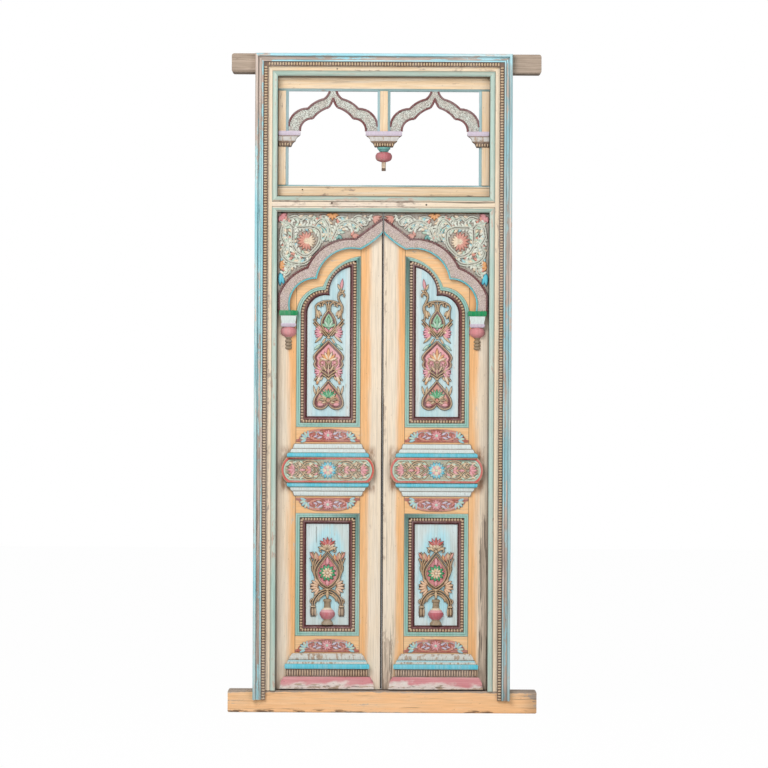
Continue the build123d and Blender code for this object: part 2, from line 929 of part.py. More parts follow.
def upper_carving():
    """Tall fretted ornament of the upper panel, with a sprig that leans to the meeting stile."""
    base = upper_opening_bottom + moulding_width + upper_carving_base
    unit = upper_carving_half_width

    def at(point, side):
        return (column_middle - side * point[0] * unit, base + point[1] * upper_carving_height)

    faces = []
    low = []
    for side in (1, -1):
        for stroke in upper_stroke_shares:
            faces.append(ribbon([at(p, side) for p in stroke], carving_stroke, carving_stroke))
        for x, z, first, last, count, length in upper_fan_shares:
            spread = [90 + side * (90 - angle) for angle in (first, last)]
            low += fan(at((x, z), side), spread[0], spread[1], count, length * unit, carving_stroke)
    for stroke in upper_lone_shares:
        faces.append(ribbon([at(p, 1) for p in stroke], carving_stroke, carving_stroke))
    for x, z, count, length in upper_palmette_shares:
        low += fan(at((x, z), 1), 25, 155, count, length * unit, carving_stroke)
    start, length, width = upper_almond_shares
    low.append(petal(at((0.0, start), 1), 90, length * upper_carving_height, width * unit))
    tall = carved(faces, panel_front, panel_front - carving_relief)
    short = carved(low, panel_front, panel_front - carving_fan_relief)
    return joined(tall + short)


lower_stroke_shares = [
    [(0.0, 0.385), (0.30, 0.440), (0.58, 0.520), (0.62, 0.620), (0.40, 0.730), (0.0, 0.850)],
    [(0.30, 0.400), (0.62, 0.470), (0.76, 0.580), (0.62, 0.700), (0.62, 0.760), (0.88, 0.850)],
    [(0.25, 0.770), (0.46, 0.800), (0.62, 0.790)],
    [(0.0, 0.350), (0.34, 0.385), (0.66, 0.345), (0.84, 0.260), (0.84, 0.170)],
    [(0.0, 0.340), (0.26, 0.345), (0.46, 0.290)],
    [(0.0, 0.850), (0.16, 0.880), (0.40, 0.870)],
]
lower_fan_shares = (0.52, 0.435, -18, 40, 4, 0.44)
lower_crown_shares = (0.0, 0.845, 5, 0.78)
lower_flower_shares = (0.0, 0.605, 10, 0.46)
lower_tassel_shares = (0.84, 0.175, 0.42)
lower_ground_shares = [(0.0, 0.40), (0.0, 0.60), (0.0, 0.83)]
vase_outline_shares = [
    (0.34, 0.0),
    (0.34, 0.03),
    (0.22, 0.075),
    (0.46, 0.15),
    (0.22, 0.225),
    (0.16, 0.245),
    (0.22, 0.30),
    (0.22, 0.36),
]


def lower_carving():
    """Ornament of the lower panel: a vase that carries an almond frame, a flower and a leafy crown."""
    base = lower_opening_bottom + moulding_width + lower_carving_base
    unit = lower_carving_half_width

    def at(point, side):
        return (column_middle - side * point[0] * unit, base + point[1] * lower_carving_height)

    faces = []
    low = []
    for side in (1, -1):
        for stroke in lower_stroke_shares:
            faces.append(ribbon([at(p, side) for p in stroke], carving_stroke, carving_stroke))
        x, z, first, last, count, length = lower_fan_shares
        spread = [90 + side * (90 - angle) for angle in (first, last)]
        low += fan(at((x, z), side), spread[0], spread[1], count, length * unit, carving_stroke)
        x, z, length = lower_tassel_shares
        low.append(petal(at((x, z), side), 270, length * unit, tassel_width))
    x, z, count, length = lower_crown_shares
    low += fan(at((x, z), 1), 20, 160, count, length * unit, carving_petal_width)
    x, z, count, length = lower_flower_shares
    low += rosette(at((x, z), 1), count, length * unit, carving_petal_width)
    spine = [at(p, 1) for p in lower_ground_shares]
    ground = ribbon(spine, carving_ground_width, carving_ground_width)
    vase_sides = [at(p, 1) for p in vase_outline_shares] + [at(p, -1) for p in vase_outline_shares[::-1]]
    vase = polygon(vase_sides)
    tall = carved(faces, panel_front, panel_front - carving_relief)
    short = carved(low, panel_front, panel_front - carving_petal_relief)
    thin = carved([ground], panel_front, panel_front - carving_ground_relief)
    return joined(tall + short + thin + carved([vase], panel_front, panel_front - vase_proud))


frieze_stroke_shares = [
    [(0.18, 0.12), (0.34, 0.62), (0.60, 0.78), (0.66, 0.40), (0.48, 0.24)],
    [(0.0, 0.90), (0.30, 0.86), (0.58, 0.66), (0.80, 0.22), (0.98, 0.10)],
    [(0.0, 0.10), (0.50, 0.10), (0.98, 0.10)],
]
frieze_shell_shares = (0.80, 0.36, 4, 0.24)
frieze_flower_shares = (0.0, 0.46, 8, 0.23)


def frieze(level, upright_sign):
    """Low relief of scrolls, a flower and end shells, on the face of a rail. A sign of -1 turns it over."""
    start = level if upright_sign > 0 else level + frieze_height
    unit = frieze_half_width

    def at(point, side):
        return (column_middle + side * point[0] * unit, start + upright_sign * point[1] * frieze_height)

    faces = []
    for side in (1, -1):
        for stroke in frieze_stroke_shares:
            faces.append(ribbon([at(p, side) for p in stroke], frieze_stroke, frieze_stroke))
        x, z, count, length = frieze_shell_shares
        middle = 90 - side * 45 if upright_sign > 0 else 270 + side * 45
        faces += fan(at((x, z), side), middle - 50, middle + 50, count, length * unit, frieze_stroke)
    x, z, count, length = frieze_flower_shares
    faces += rosette(at((x, z), 1), count, length * unit, frieze_petal_width)
    return carved(faces, leaf_front, leaf_front - frieze_relief)


def top_rail():
    """Upper rail, with a cusped lower edge over the panel."""
    arcs = opening_edges(0.0)[:2]
    start, end = arcs[0] @ 0, arcs[1] @ 1
    corners = [
        (end.X, end.Y),
        (hinge_stile_inner, leaf_top),
        (meeting_stile_width, leaf_top),
        (start.X, start.Y),
    ]
    lines = [Line(corners[i], corners[i + 1]) for i in range(3)]
    bar = board(make_face(arcs + lines), leaf_back, leaf_front)
    return joined([bar - upper_panel()] + rail_tenons()[0])


def rail(z0, z1, tenons, friezes):
    bar = timber(meeting_stile_width, hinge_stile_inner, leaf_front, leaf_back, z0, z1)
    bar = bar - [upper_panel(), lower_panel()]
    return joined([bar] + tenons + friezes)


band_level = lower_opening_top + band_middle
cornice_height = cornice_blue_height + cornice_white_height


def middle_rail():
    reach = cartouche_height / 2 + cornice_height + frieze_gap
    friezes = frieze(band_level + reach, 1) + frieze(band_level - reach - frieze_height, -1)
    return rail(lower_opening_top, upper_opening_bottom, rail_tenons()[1], friezes)


plinth_bottom = leaf_bottom + plinth_lift
plinth_height = plinth_base_height + plinth_dentil_height + plinth_strip_height + plinth_cornice_height


def bottom_rail():
    level = plinth_bottom + plinth_height + frieze_gap
    return rail(leaf_bottom, lower_opening_bottom, rail_tenons()[2], frieze(level, 1))


def layer(half_low, half_high, z0, z1, proud):
    """One step of a moulding across a leaf, with slanting ends."""
    low = (column_middle - half_low, column_middle + half_low)
    high = (column_middle - half_high, column_middle + half_high)
    face = polygon([(low[0], z0), (low[1], z0), (high[1], z1), (high[0], z1)])
    return board(face, leaf_front, leaf_front - proud)


def cornice(sign):
    """Stepped moulding above (1) or below (-1) the cartouche, as one piece."""

    def step(half, start, height, proud):
        near = band_level + sign * (cartouche_height / 2 + start)
        far = near + sign * height
        inner, outer = half + cornice_end_slope / 2, half - cornice_end_slope / 2
        if sign > 0:
            return layer(inner, outer, near, far, proud)
        return layer(outer, inner, far, near, proud)

    cap_start = cornice_blue_height + cornice_white_step
    cap_height = cornice_white_height - cornice_white_step
    return joined(
        [
            step(cornice_blue_half_length, 0, cornice_blue_height, cornice_blue_proud),
            step(cornice_white_half_length, cornice_blue_height, cornice_white_step, cornice_white_proud),
            step(cornice_cap_half_length, cap_start, cap_height, cornice_cap_proud),
        ]
    )


cartouche_stroke_shares = [
    [(0.24, 0.0), (0.36, 0.62), (0.52, 0.20), (0.64, 0.0)],
    [(0.24, 0.0), (0.36, -0.62), (0.52, -0.20), (0.64, 0.0)],
    [(0.58, 0.0), (0.66, 0.52), (0.78, 0.66), (0.86, 0.36)],
    [(0.58, 0.0), (0.66, -0.52), (0.78, -0.66), (0.86, -0.36)],
    [(0.20, 0.0), (0.45, 0.0), (0.80, 0.0)],
]
cartouche_fan_shares = (0.76, 0.0, 5, 0.16)
cartouche_flower_shares = (14, 0.21)


def cartouche_face(inset):
    half = cartouche_half_length - inset
    straight = half - cartouche_end_bulge
    high = cartouche_height / 2 - inset
    left, right = column_middle - straight, column_middle + straight
    top, low = band_level + high, band_level - high
    return make_face(
        [
            Line((left, top), (right, top)),
            ThreePointArc((right, top), (column_middle + half, band_level), (right, low)),
            Line((right, low), (left, low)),
            ThreePointArc((left, low), (column_middle - half, band_level), (left, top)),
        ]
    )


def cartouche():
    """Long carved boss with a raised rim, foliage and a round flower."""
    unit = cartouche_half_length
    high = cartouche_height / 2 - cartouche_rim
    rim_front = leaf_front - cartouche_proud
    field_front = rim_front + cartouche_field_sunk

    def at(point, side):
        return (column_middle + side * point[0] * unit, band_level + point[1] * high)

    faces = []
    for side in (1, -1):
        for stroke in cartouche_stroke_shares:
            faces.append(ribbon([at(p, side) for p in stroke], cartouche_stroke, cartouche_stroke))
        x, z, count, length = cartouche_fan_shares
        middle = 90 - side * 90
        root = at((x, z), side)
        faces += fan(root, middle - 70, middle + 70, count, length * unit, cartouche_petal_width)
    count, length = cartouche_flower_shares
    faces += rosette(at((0.0, 0.0), 1), count, length * unit, cartouche_petal_width)
    body = board(cartouche_face(0), leaf_front, field_front)
    rim = board(cartouche_face(0) - cartouche_face(cartouche_rim), field_front, rim_front)
    relief = carved(faces, field_front, field_front - cartouche_relief)
    return joined([body, rim] + relief)


def plinth():
    """Moulded block across the foot of the leaf, with a row of reeds, as one piece."""
    base_top = plinth_bottom + plinth_base_height
    dentil_top = base_top + plinth_dentil_height
    strip_top = dentil_top + plinth_strip_height
    step_top = strip_top + plinth_cornice_step
    cap_top = strip_top + plinth_cornice_height
    cap_mid = plinth_cornice_half_length + plinth_cornice_slope / 2
    base = layer(
        plinth_base_half_length,
        plinth_base_half_length - plinth_base_slope,
        plinth_bottom,
        base_top,
        plinth_base_proud,
    )
    dentil_half = plinth_dentil_half_length
    strip_half = plinth_strip_half_length
    cornice_half = plinth_cornice_half_length + plinth_cornice_slope
    dentil = layer(dentil_half, dentil_half, base_top, dentil_top, plinth_dentil_proud)
    strip = layer(strip_half, strip_half, dentil_top, strip_top, plinth_strip_proud)
    step = layer(cornice_half, cap_mid, strip_top, step_top, plinth_cornice_proud)
    cap = layer(cap_mid, plinth_cornice_half_length, step_top, cap_top, plinth_cap_proud)
    count = int(2 * dentil_half / plinth_reed_pitch)
    pitch = 2 * dentil_half / count
    reeds = []
    for i in range(count):
        middle = column_middle - dentil_half + (i + 0.5) * pitch
        reeds.append(
            timber(
                middle - plinth_reed_width / 2,
                middle + plinth_reed_width / 2,
                leaf_front - plinth_dentil_proud - plinth_reed_proud,
                leaf_front - plinth_dentil_proud,
                base_top,
                dentil_top,
            )
        )
    return joined([base, dentil, strip, step, cap] + reeds)


# Spandrel with its arch band. Shares run from the meeting side out, and up from the arch's foot.
arch_inner_shares = [
    [(1.0, 0.0), (0.930, 0.305), (0.717, 0.406)],
    [(0.717, 0.406), (0.627, 0.634), (0.243, 0.782)],
    [(0.243, 0.782), (0.135, 0.860), (0.0, 1.0)],
]
arch_outer_shares = [
    [(0.0, 1.18), (0.155, 1.05), (0.297, 0.918)],
    [(0.297, 0.918), (0.664, 0.792), (0.819, 0.555)],
    [(0.819, 0.555), (1.02, 0.398), (1.124, 0.20)],
]
shield_shares = [
    [(0.85, 0.84), (0.74, 0.885), (0.63, 0.85), (0.575, 0.74), (0.62, 0.65), (0.73, 0.60)],
    [(0.73, 0.60), (0.83, 0.66), (0.87, 0.75), (0.85, 0.84)],
]
vine_shares = [
    [(0.62, 0.86), (0.54, 0.93), (0.46, 0.88), (0.45, 0.76), (0.52, 0.66)],
    [(0.46, 0.88), (0.37, 0.95), (0.28, 0.90), (0.27, 0.84), (0.34, 0.80), (0.38, 0.85)],
    [(0.37, 0.95), (0.24, 0.965), (0.12, 0.92), (0.06, 0.965)],
    [(0.85, 0.84), (0.90, 0.92), (0.96, 0.89), (0.95, 0.80), (0.90, 0.72), (0.95, 0.64), (0.90, 0.55)],
    [(0.73, 0.60), (0.80, 0.56), (0.90, 0.55), (0.96, 0.46), (0.94, 0.36)],
    [(0.63, 0.85), (0.70, 0.95), (0.80, 0.95), (0.88, 0.93)],
]
lotus_shares = (0.725, 0.745, 11, 0.085)
spandrel_fan_shares = [
    (0.40, 0.955, 180, 360, 4, 0.05),
    (0.97, 0.57, 120, 240, 4, 0.06),
    (0.20, 0.90, 180, 330, 3, 0.06),
    (0.52, 0.78, 60, 240, 4, 0.05),
    (0.97, 0.96, 180, 270, 3, 0.06),
]


def arch_point(point):
    return (point[0] * arch_reach, arch_foot + point[1] * arch_rise)


def arch_arcs(table):
    return [ThreePointArc(*[arch_point(p) for p in arc]) for arc in table]


def along_arc(arc):
    """Start, middle and end of an arc, as plain points."""
    return [tuple(arc @ share)[:2] for share in (0.0, 0.5, 1.0)]


def arch_region(inner, outer):
    """The arch's band, between its inner and its outer line."""
    foot = arch_point((arch_outer_shares[-1][-1][0], 0.0))
    lines = [Line(inner[-1] @ 1, outer[0] @ 0), Line(outer[-1] @ 1, foot), Line(foot, inner[0] @ 0)]
    return make_face(inner + outer + lines)


def spandrel():
    """Carved board over the leaf's head: foliage in the corner, and the half arch with its rope edge."""
    inner, outer = arch_arcs(arch_inner_shares), arch_arcs(arch_outer_shares)
    ground_front = leaf_front - spandrel_thickness
    corner_out, corner_in = (spandrel_side, spandrel_top), (0, spandrel_top)
    foot_x = arch_outer_shares[-1][-1][0] * arch_reach
    side_foot = (spandrel_side, arch_point((0.0, arch_outer_shares[-1][-1][1]))[1])
    arch = arch_region(inner, outer)
    edges = outer + [
        Line(outer[-1] @ 1, side_foot),
        Line(side_foot, corner_out),
        Line(corner_out, corner_in),
        Line(corner_in, outer[0] @ 0),
    ]
    corner = make_face(edges)
    limits = timber(
        spandrel_meeting_gap, spandrel_side, leaf_front - frame_depth, leaf_front, arch_foot, spandrel_top
    )
    reach, rise = spandrel_side, spandrel_top - arch_foot

    def at(point):
        return (point[0] * reach, arch_foot + point[1] * rise)

    lines = vine_shares + shield_shares
    strokes = [ribbon([at(p) for p in line], foliage_stroke, foliage_stroke) for line in lines]
    petals = []
    for x, z, first, last, count, length in spandrel_fan_shares:
        petals += fan(at((x, z)), first, last, count, length * reach, foliage_petal_width)
    x, z, count, length = lotus_shares
    petals += rosette(at((x, z)), count, length * reach, foliage_petal_width)
    ropes = [ribbon(along_arc(arc), arch_rope_width, arch_rope_width) for arc in outer]
    lips = [ribbon(along_arc(arc), arch_lip_width, arch_lip_width) for arc in inner]
    foot_edge = polygon(
        [
            (foot_x - arch_rope_width / 2, arch_foot),
            (foot_x + arch_rope_width / 2, arch_foot),
            (foot_x + arch_rope_width / 2, (outer[-1] @ 1).Y),
            (foot_x - arch_rope_width / 2, (outer[-1] @ 1).Y),
        ]
    )
    relief = carved(strokes, ground_front, ground_front - foliage_relief)
    relief += carved(petals, ground_front, ground_front - foliage_petal_relief)
    relief += carved(ropes + [foot_edge], leaf_front, ground_front - arch_rope_proud)
    relief += carved(lips, leaf_front, ground_front - arch_band_proud)
    ground = board(corner, leaf_front, ground_front)
    band = board(arch, leaf_front, ground_front - arch_band_proud)
    return joined([ground, band] + relief) & limits


def drop():
    """Half-turned drop under the arch's foot: abacus, block, bulb and ringed stem."""
    middle = opening_half_width - drop_distance
    abacus_bottom = arch_foot - drop_abacus_height
    block_bottom = abacus_bottom - drop_block_height
    bulb_bottom = block_bottom - drop_bulb_height
    neck_bottom = bulb_bottom - drop_neck_height
    stem_bottom = neck_bottom - drop_stem_height
    wide, half = drop_half_width, drop_block_half_width
    abacus_front, block_front = leaf_front - drop_bulb_radius, leaf_front - drop_block_proud
    abacus = timber(middle - wide, middle + wide, abacus_front, leaf_front, abacus_bottom, arch_foot)
    block = timber(middle - half, middle + half, block_front, leaf_front, block_bottom, abacus_bottom)
    ring = drop_stem_height / drop_ring_count
    edges = [
        Line((0, stem_bottom), (0, block_bottom)),
        Line((0, block_bottom), (drop_neck_radius, block_bottom)),
        ThreePointArc(
            (drop_neck_radius, block_bottom),
            (drop_bulb_radius, (block_bottom + bulb_bottom) / 2),
            (drop_neck_radius, bulb_bottom),
        ),
        Line((drop_neck_radius, bulb_bottom), (drop_neck_radius / 2, neck_bottom)),
    ]
    for i in range(drop_ring_count):
        ring_top = neck_bottom - i * ring
        edges.append(
            ThreePointArc(
                (drop_neck_radius / 2, ring_top),
                (drop_stem_radius, ring_top - ring / 2),
                (drop_neck_radius / 2, ring_top - ring),
            )
        )
    edges.append(Line((drop_neck_radius / 2, stem_bottom), (0, stem_bottom)))
    turned = Pos(middle, leaf_front, 0) * revolve(Plane.XZ * make_face(edges), axis=Axis.Z)
    half_space = timber(
        0, 2 * opening_half_width, leaf_front - frame_depth, leaf_front, stem_bottom - overrun, arch_foot
    )
    moulding = board(make_face(opening_edges(0.0)), panel_front, leaf_front - moulding_band_proud)
    return joined([abacus, block, turned & half_space]) - moulding


# Every piece under its own name

pieces = {
    "head_beam": head_beam(),
    "sill_beam": sill_beam(),
    "transom_beam": transom_beam(),
    "casing_head": casing_head(),
    "bead_strip_head": strip_head(),
    "light_mullion": light_mullion(),
    "pendant_capital": pendant_capital(),
    "pendant_drop": pendant_drop(),
}
top_rail_solid = light_rail(light_top, head_bottom, False)
bottom_rail_solid = light_rail(transom_top, light_bottom, True)
for side_tenons in (stile_tenons(), [other_side(t) for t in stile_tenons()]):
    top_rail_solid -= side_tenons[0]
    bottom_rail_solid -= side_tenons[1]
pieces["light_top_rail"] = top_rail_solid - mullion_tenon()
pieces["light_bottom_rail"] = bottom_rail_solid

half_arch = light_arch()
pieces["light_arch_right_outer"] = Pos(light_middle, 0, 0) * half_arch
pieces["light_arch_right_inner"] = Pos(light_middle, 0, 0) * other_side(half_arch)
pieces["light_arch_left_outer"] = Pos(-light_middle, 0, 0) * other_side(half_arch)
pieces["light_arch_left_inner"] = Pos(-light_middle, 0, 0) * half_arch

paired = {
    "jamb": jamb(),
    "casing": casing_upright(),
    "bead_strip": strip_upright(),
    "light_stile": light_stile(),
    "light_capital": side_capital(),
    "hinge_stile": hinge_stile(),
    "top_rail": top_rail(),
    "middle_rail": middle_rail(),
    "bottom_rail": bottom_rail(),
    "upper_panel": upper_panel(),
    "lower_panel": lower_panel(),
    "upper_moulding": panel_moulding(opening_edges),
    "lower_moulding": panel_moulding(lower_edges),
    "upper_carving": upper_carving(),
    "lower_carving": lower_carving(),
    "cornice_upper": cornice(1),
    "cornice_lower": cornice(-1),
    "cartouche": cartouche(),
    "plinth": plinth(),
    "spandrel": spandrel(),
    "drop": drop(),
}
for name, piece in paired.items():
    pieces[name + "_right"] = piece
    pieces[name + "_left"] = other_side(piece)
edge_near = meeting_clearance
edge_far = meeting_clearance + meeting_splay
pieces["meeting_stile_right"] = meeting_stile(edge_near, edge_far)
pieces["meeting_stile_left"] = other_side(meeting_stile(edge_far, edge_near))

os.makedirs("parts", exist_ok=True)
for name, piece in pieces.items():
    export_step(piece, f"parts/{name}.step")
    print(name, len(piece.solids()), round(piece.volume))
print(len(pieces), "pieces")
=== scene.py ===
# %% [markdown]
# # A carved and painted temple door
# The door is a timber frame with two panelled leaves and an open arched light above them.
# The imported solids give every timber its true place. This lesson dresses them: plain timbers keep
# their solid and get old paint, and everything carved is modelled again with finer forms.
# All lengths below are in millimetres, and are turned to metres when a piece is finished. Only the
# limits of a ramp in a finish are written in metres, as Object coordinates give them.

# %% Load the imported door
import math

import bmesh
import bpy
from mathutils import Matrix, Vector


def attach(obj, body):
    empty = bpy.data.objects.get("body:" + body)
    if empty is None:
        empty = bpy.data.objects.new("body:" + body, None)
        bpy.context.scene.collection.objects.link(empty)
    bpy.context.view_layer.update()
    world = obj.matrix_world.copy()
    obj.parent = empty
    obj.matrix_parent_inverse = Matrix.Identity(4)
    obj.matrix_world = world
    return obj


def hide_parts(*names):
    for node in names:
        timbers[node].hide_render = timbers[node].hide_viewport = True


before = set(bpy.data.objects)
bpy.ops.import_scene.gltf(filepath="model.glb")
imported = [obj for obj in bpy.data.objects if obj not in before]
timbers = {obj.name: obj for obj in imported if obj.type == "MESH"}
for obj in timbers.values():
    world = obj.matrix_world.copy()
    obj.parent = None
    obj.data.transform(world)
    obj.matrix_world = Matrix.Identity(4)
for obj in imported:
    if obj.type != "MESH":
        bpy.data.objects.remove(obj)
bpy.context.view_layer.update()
MM = 0.001

# %% [markdown]
# ## Small tools for node trees
# A shader is a tree of nodes, and most of its lines say the same thing: make a node, set a few
# sockets, link the rest. One helper does that. A wire is what runs from node to node, and as it can add
# and multiply, sums in a tree read like sums on paper. Paint is written as it is seen on a screen, so
# another helper turns those numbers into the linear light that Blender computes with.

# %% Nodes and wires


def paint(red, green, blue):
    """A colour as seen on a screen, 0 to 255, as linear light."""

    def linear(value):
        value /= 255
        return value / 12.92 if value <= 0.04045 else ((value + 0.055) / 1.055) ** 2.4

    return (linear(red), linear(green), linear(blue), 1.0)


class Wire:
    """A number, colour or place on its way from one node to the next."""

    def __init__(self, socket):
        self.socket, self.tree = socket, socket.id_data

    def math(self, operation, *others):
        return wire(self.tree, "Math", dict(enumerate((self, *others))), operation=operation)

    def __add__(self, other):
        return self.math("ADD", other)

    def __sub__(self, other):
        return self.math("SUBTRACT", other)

    def __mul__(self, other):
        return self.math("MULTIPLY", other)

    def __abs__(self):
        return self.math("ABSOLUTE")


def put(tree, kind, inputs=None, **settings):
    """A new node, with constants or wires on its inputs."""
    made = tree.nodes.new("ShaderNode" + kind)
    for key, value in settings.items():
        setattr(made, key, value)
    for key, value in (inputs or {}).items():
        if isinstance(value, Wire):
            tree.links.new(value.socket, made.inputs[key])
        else:
            made.inputs[key].default_value = value
    return made


def wire(tree, kind, inputs=None, output=0, **settings):
    """One wire out of a new node."""
    return Wire(put(tree, kind, inputs, **settings).outputs[output])


def wires(node):
    """Every wire out of a node, by its name."""
    return {socket.name: Wire(socket) for socket in node.outputs}


print("wires ready")

# %% Mixing, ramps and noise


def blend(share, first, second, mode="MIX"):
    """One colour over another. At least one of the three comes along a wire."""
    tree = next(value.tree for value in (share, first, second) if isinstance(value, Wire))
    return wire(tree, "Mix", {0: share, 6: first, 7: second}, 2, data_type="RGBA", blend_type=mode)


def most(first, *others):
    """The largest of several values. The first comes along a wire."""
    for other in others:
        first = first.math("MAXIMUM", other)
    return first


def ramp(value, low, high):
    """0 below low, 1 above high, smooth between. low may be the larger."""
    inputs = {"Value": value, "From Min": low, "From Max": high}
    return wire(value.tree, "MapRange", inputs, interpolation_type="SMOOTHSTEP")


def noise(vector, scale, detail):
    """Cloudy noise, stretched by a different scale on each axis."""
    stretched = wire(vector.tree, "Mapping", {"Vector": vector, "Scale": scale})
    inputs = {"Vector": stretched, "Scale": 1.0, "Detail": detail, "Roughness": 0.6}
    return wire(vector.tree, "TexNoise", inputs)


def drift(vector, scale, detail, reach):
    """Noise that wanders to either side of zero, by half its reach."""
    return (noise(vector, scale, detail) - 0.5) * reach


def group_tree(name, inputs, outputs):
    """An empty node group with named sockets."""
    tree = bpy.data.node_groups.new(name, "ShaderNodeTree")
    for title, kind, value in inputs:
        socket = tree.interface.new_socket(title, in_out="INPUT", socket_type="NodeSocket" + kind)
        socket.default_value = value
    for title, kind in outputs:
        tree.interface.new_socket(title, in_out="OUTPUT", socket_type="NodeSocket" + kind)
    return tree, wires(tree.nodes.new("NodeGroupInput")), tree.nodes.new("NodeGroupOutput").inputs


print("node helpers ready")

# %% [markdown]
# ## Old paint as one shared effect
# Every timber here has the same history: a coat of paint that faded in streaks along the grain,
# chipped to bare wood, and took on dirt in the pores. It could be painted on each piece by hand.
# A node group does it once for all, and each finish only sets its colours and how worn it is.
# The vector that goes in has its Z along the grain.

# %% The weathered paint group
WOOD = paint(176, 156, 138)
# A dark brown for dirt in the pores, and for the painted shadow lines and painted shade that some
# finishes lay on
DIRT_AND_SHADE = paint(58, 42, 34)

weathered, given, gives = group_tree(
    "weathered_paint",
    [
        ("Vector", "Vector", (0, 0, 0)),
        ("Paint", "Color", WOOD),
        ("Faded", "Color", WOOD),
        ("Bare", "Color", WOOD),
        ("Wear", "Float", 0.3),
        ("Grime", "Float", 0.3),
    ],
    [("Color", "Color"), ("Roughness", "Float"), ("Height", "Float")],
)
streaks = noise(given["Vector"], (110, 110, 4.0), 4)
fine = noise(given["Vector"], (420, 420, 9.0), 3)
patches = noise(given["Vector"], (11, 11, 3.2), 3)
chips = noise(given["Vector"], (90, 90, 34), 5)
specks = noise(given["Vector"], (210, 210, 80), 3)

fading = patches * 0.55 + streaks * 0.45
tone = blend(ramp(fine, 0.34, 0.66), (0.86, 0.84, 0.82, 1), (1.04, 1.03, 1.02, 1))
coat = blend(ramp(fading, 0.40, 0.62), given["Paint"], given["Faded"])
coat = blend(1.0, coat, tone, "MULTIPLY")
edge = given["Wear"] * -0.5 + 0.72
worn = ramp(chips * 0.4 + fading * 0.6, edge, edge + 0.06)
grain = blend(ramp(streaks, 0.36, 0.64), (0.70, 0.68, 0.66, 1), (1.12, 1.11, 1.1, 1))
bare = blend(1.0, blend(1.0, given["Bare"], grain, "MULTIPLY"), tone, "MULTIPLY")
dirt = most(ramp(fine, 0.62, 0.74) * 0.6, ramp(specks, 0.66, 0.76)) * given["Grime"]
results = {
    "Color": blend(dirt, blend(worn, coat, bare), DIRT_AND_SHADE),
    "Roughness": worn * 0.2 + 0.6,
    "Height": worn * -0.6 + streaks * 0.35 + dirt * -0.5,
}
for title, result in results.items():
    weathered.links.new(result.socket, gives[title])
print("group", weathered.name, len(weathered.nodes), "nodes")

# %% [markdown]
# ## Finishes for plain timbers
# A timber's paint changes over its face: cream at the edge, orange near a moulding, aqua on a bead.
# Those zones could be separate faces. The solids stay whole here, so each finish reads where it is
# on the door from Object coordinates and picks its colour there. Behind the painted face the wood
# was left bare.

# %% Timber finish helpers


def blank_finish(name):
    """A material with only its output, and the place on the door, whole and as X, Y and Z."""
    finish = bpy.data.materials.new(name)
    finish.use_nodes = True
    tree = finish.node_tree
    tree.nodes.remove(tree.nodes["Principled BSDF"])
    place = wire(tree, "TexCoord", output="Object")
    return finish, place, wires(put(tree, "SeparateXYZ", {0: place}))


def close_finish(colour, roughness, height, bump=0.35):
    """Links a colour, a roughness and a relief to a Principled shader."""
    tree = colour.tree
    relief = wire(tree, "Bump", {"Height": height, "Strength": bump, "Distance": 0.002})
    inputs = {"Base Color": colour, "Roughness": roughness, "Normal": relief, "Specular IOR Level": 0.2}
    shader = put(tree, "BsdfPrincipled", inputs)
    tree.links.new(shader.outputs[0], tree.nodes["Material Output"].inputs["Surface"])


def timber_finish(name, paint_at, face=None, grain="Z", bare=WOOD, grime=0.4, dark=DIRT_AND_SHADE):
    """Old paint on a timber. paint_at gives paint, faded paint, wear and dark lines at each place:
    cracks, nails and joints, and painted shadow lines along gaps.
    """
    finish, place, axes = blank_finish(name)
    turn = (0, -math.pi / 2, 0) if grain == "X" else (0, 0, 0)
    along = wire(place.tree, "Mapping", {"Vector": place, "Rotation": turn})
    fresh, faded, wear, lines = paint_at(axes, along)
    if face is not None:
        wear = most(ramp(axes["Y"], (face + 0.6) * MM, (face + 2.5) * MM), wear)
    inputs = {"Vector": along, "Paint": fresh, "Faded": faded, "Bare": bare, "Wear": wear, "Grime": grime}
    aged = wires(put(place.tree, "Group", inputs, node_tree=weathered))
    colour = aged["Color"] if lines is None else blend(lines, aged["Color"], dark)
    close_finish(colour, aged["Roughness"], aged["Height"])
    return finish


def zone(value, low, high, soft=0.6):
    """1 between two places in millimetres, with soft edges."""
    rising = ramp(value, (low - soft) * MM, (low + soft) * MM)
    return rising * ramp(value, (high + soft) * MM, (high - soft) * MM)


def seam(value, middle, half, strength):
    """A soft dark line about a place in millimetres."""
    return ramp(abs(value - middle * MM), half * MM, 0.0) * strength


def nail(axes, x, z, radius=3.2):
    """The dark round head of a nail."""
    across, up = axes["X"] - x * MM, axes["Z"] - z * MM
    return ramp(across * across + up * up, (radius * MM) ** 2, (0.6 * radius * MM) ** 2)


def cracked(along, start, strength, size=(190, 190, 2.4)):
    """Fine dark cracks along the grain."""
    return ramp(noise(along, size, 4), start, start + 0.06) * strength


print("timber helpers ready")

# %% [markdown]
# ## The colours of the frame
# The outer casing is sky blue, worn back to a pinkish grey wood. Inside it come a brown bead strip,
# a cream flat and an aqua bead round the opening. Head and sill run out into bare horns. Light rails
# and stiles are cream, with an aqua chamfer along the opening's edge.

# %% Paints of the frame
CREAM = paint(236, 219, 194)
APRICOT = paint(235, 207, 170)
AQUA = paint(178, 206, 196)
PALE_AQUA = paint(199, 210, 198)
SKY = paint(166, 223, 236)
PALE_SKY = paint(194, 218, 222)
GREY_WOOD = paint(192, 177, 163)
PINK_WOOD = paint(206, 192, 182)
DULL_AQUA = paint(162, 188, 177)
PALE_DULL_AQUA = paint(184, 194, 182)
DOOR_TOP, CASING_OUT = 2.400, 0.468
print("casing top", DOOR_TOP, "m")

# %% Posts and beams


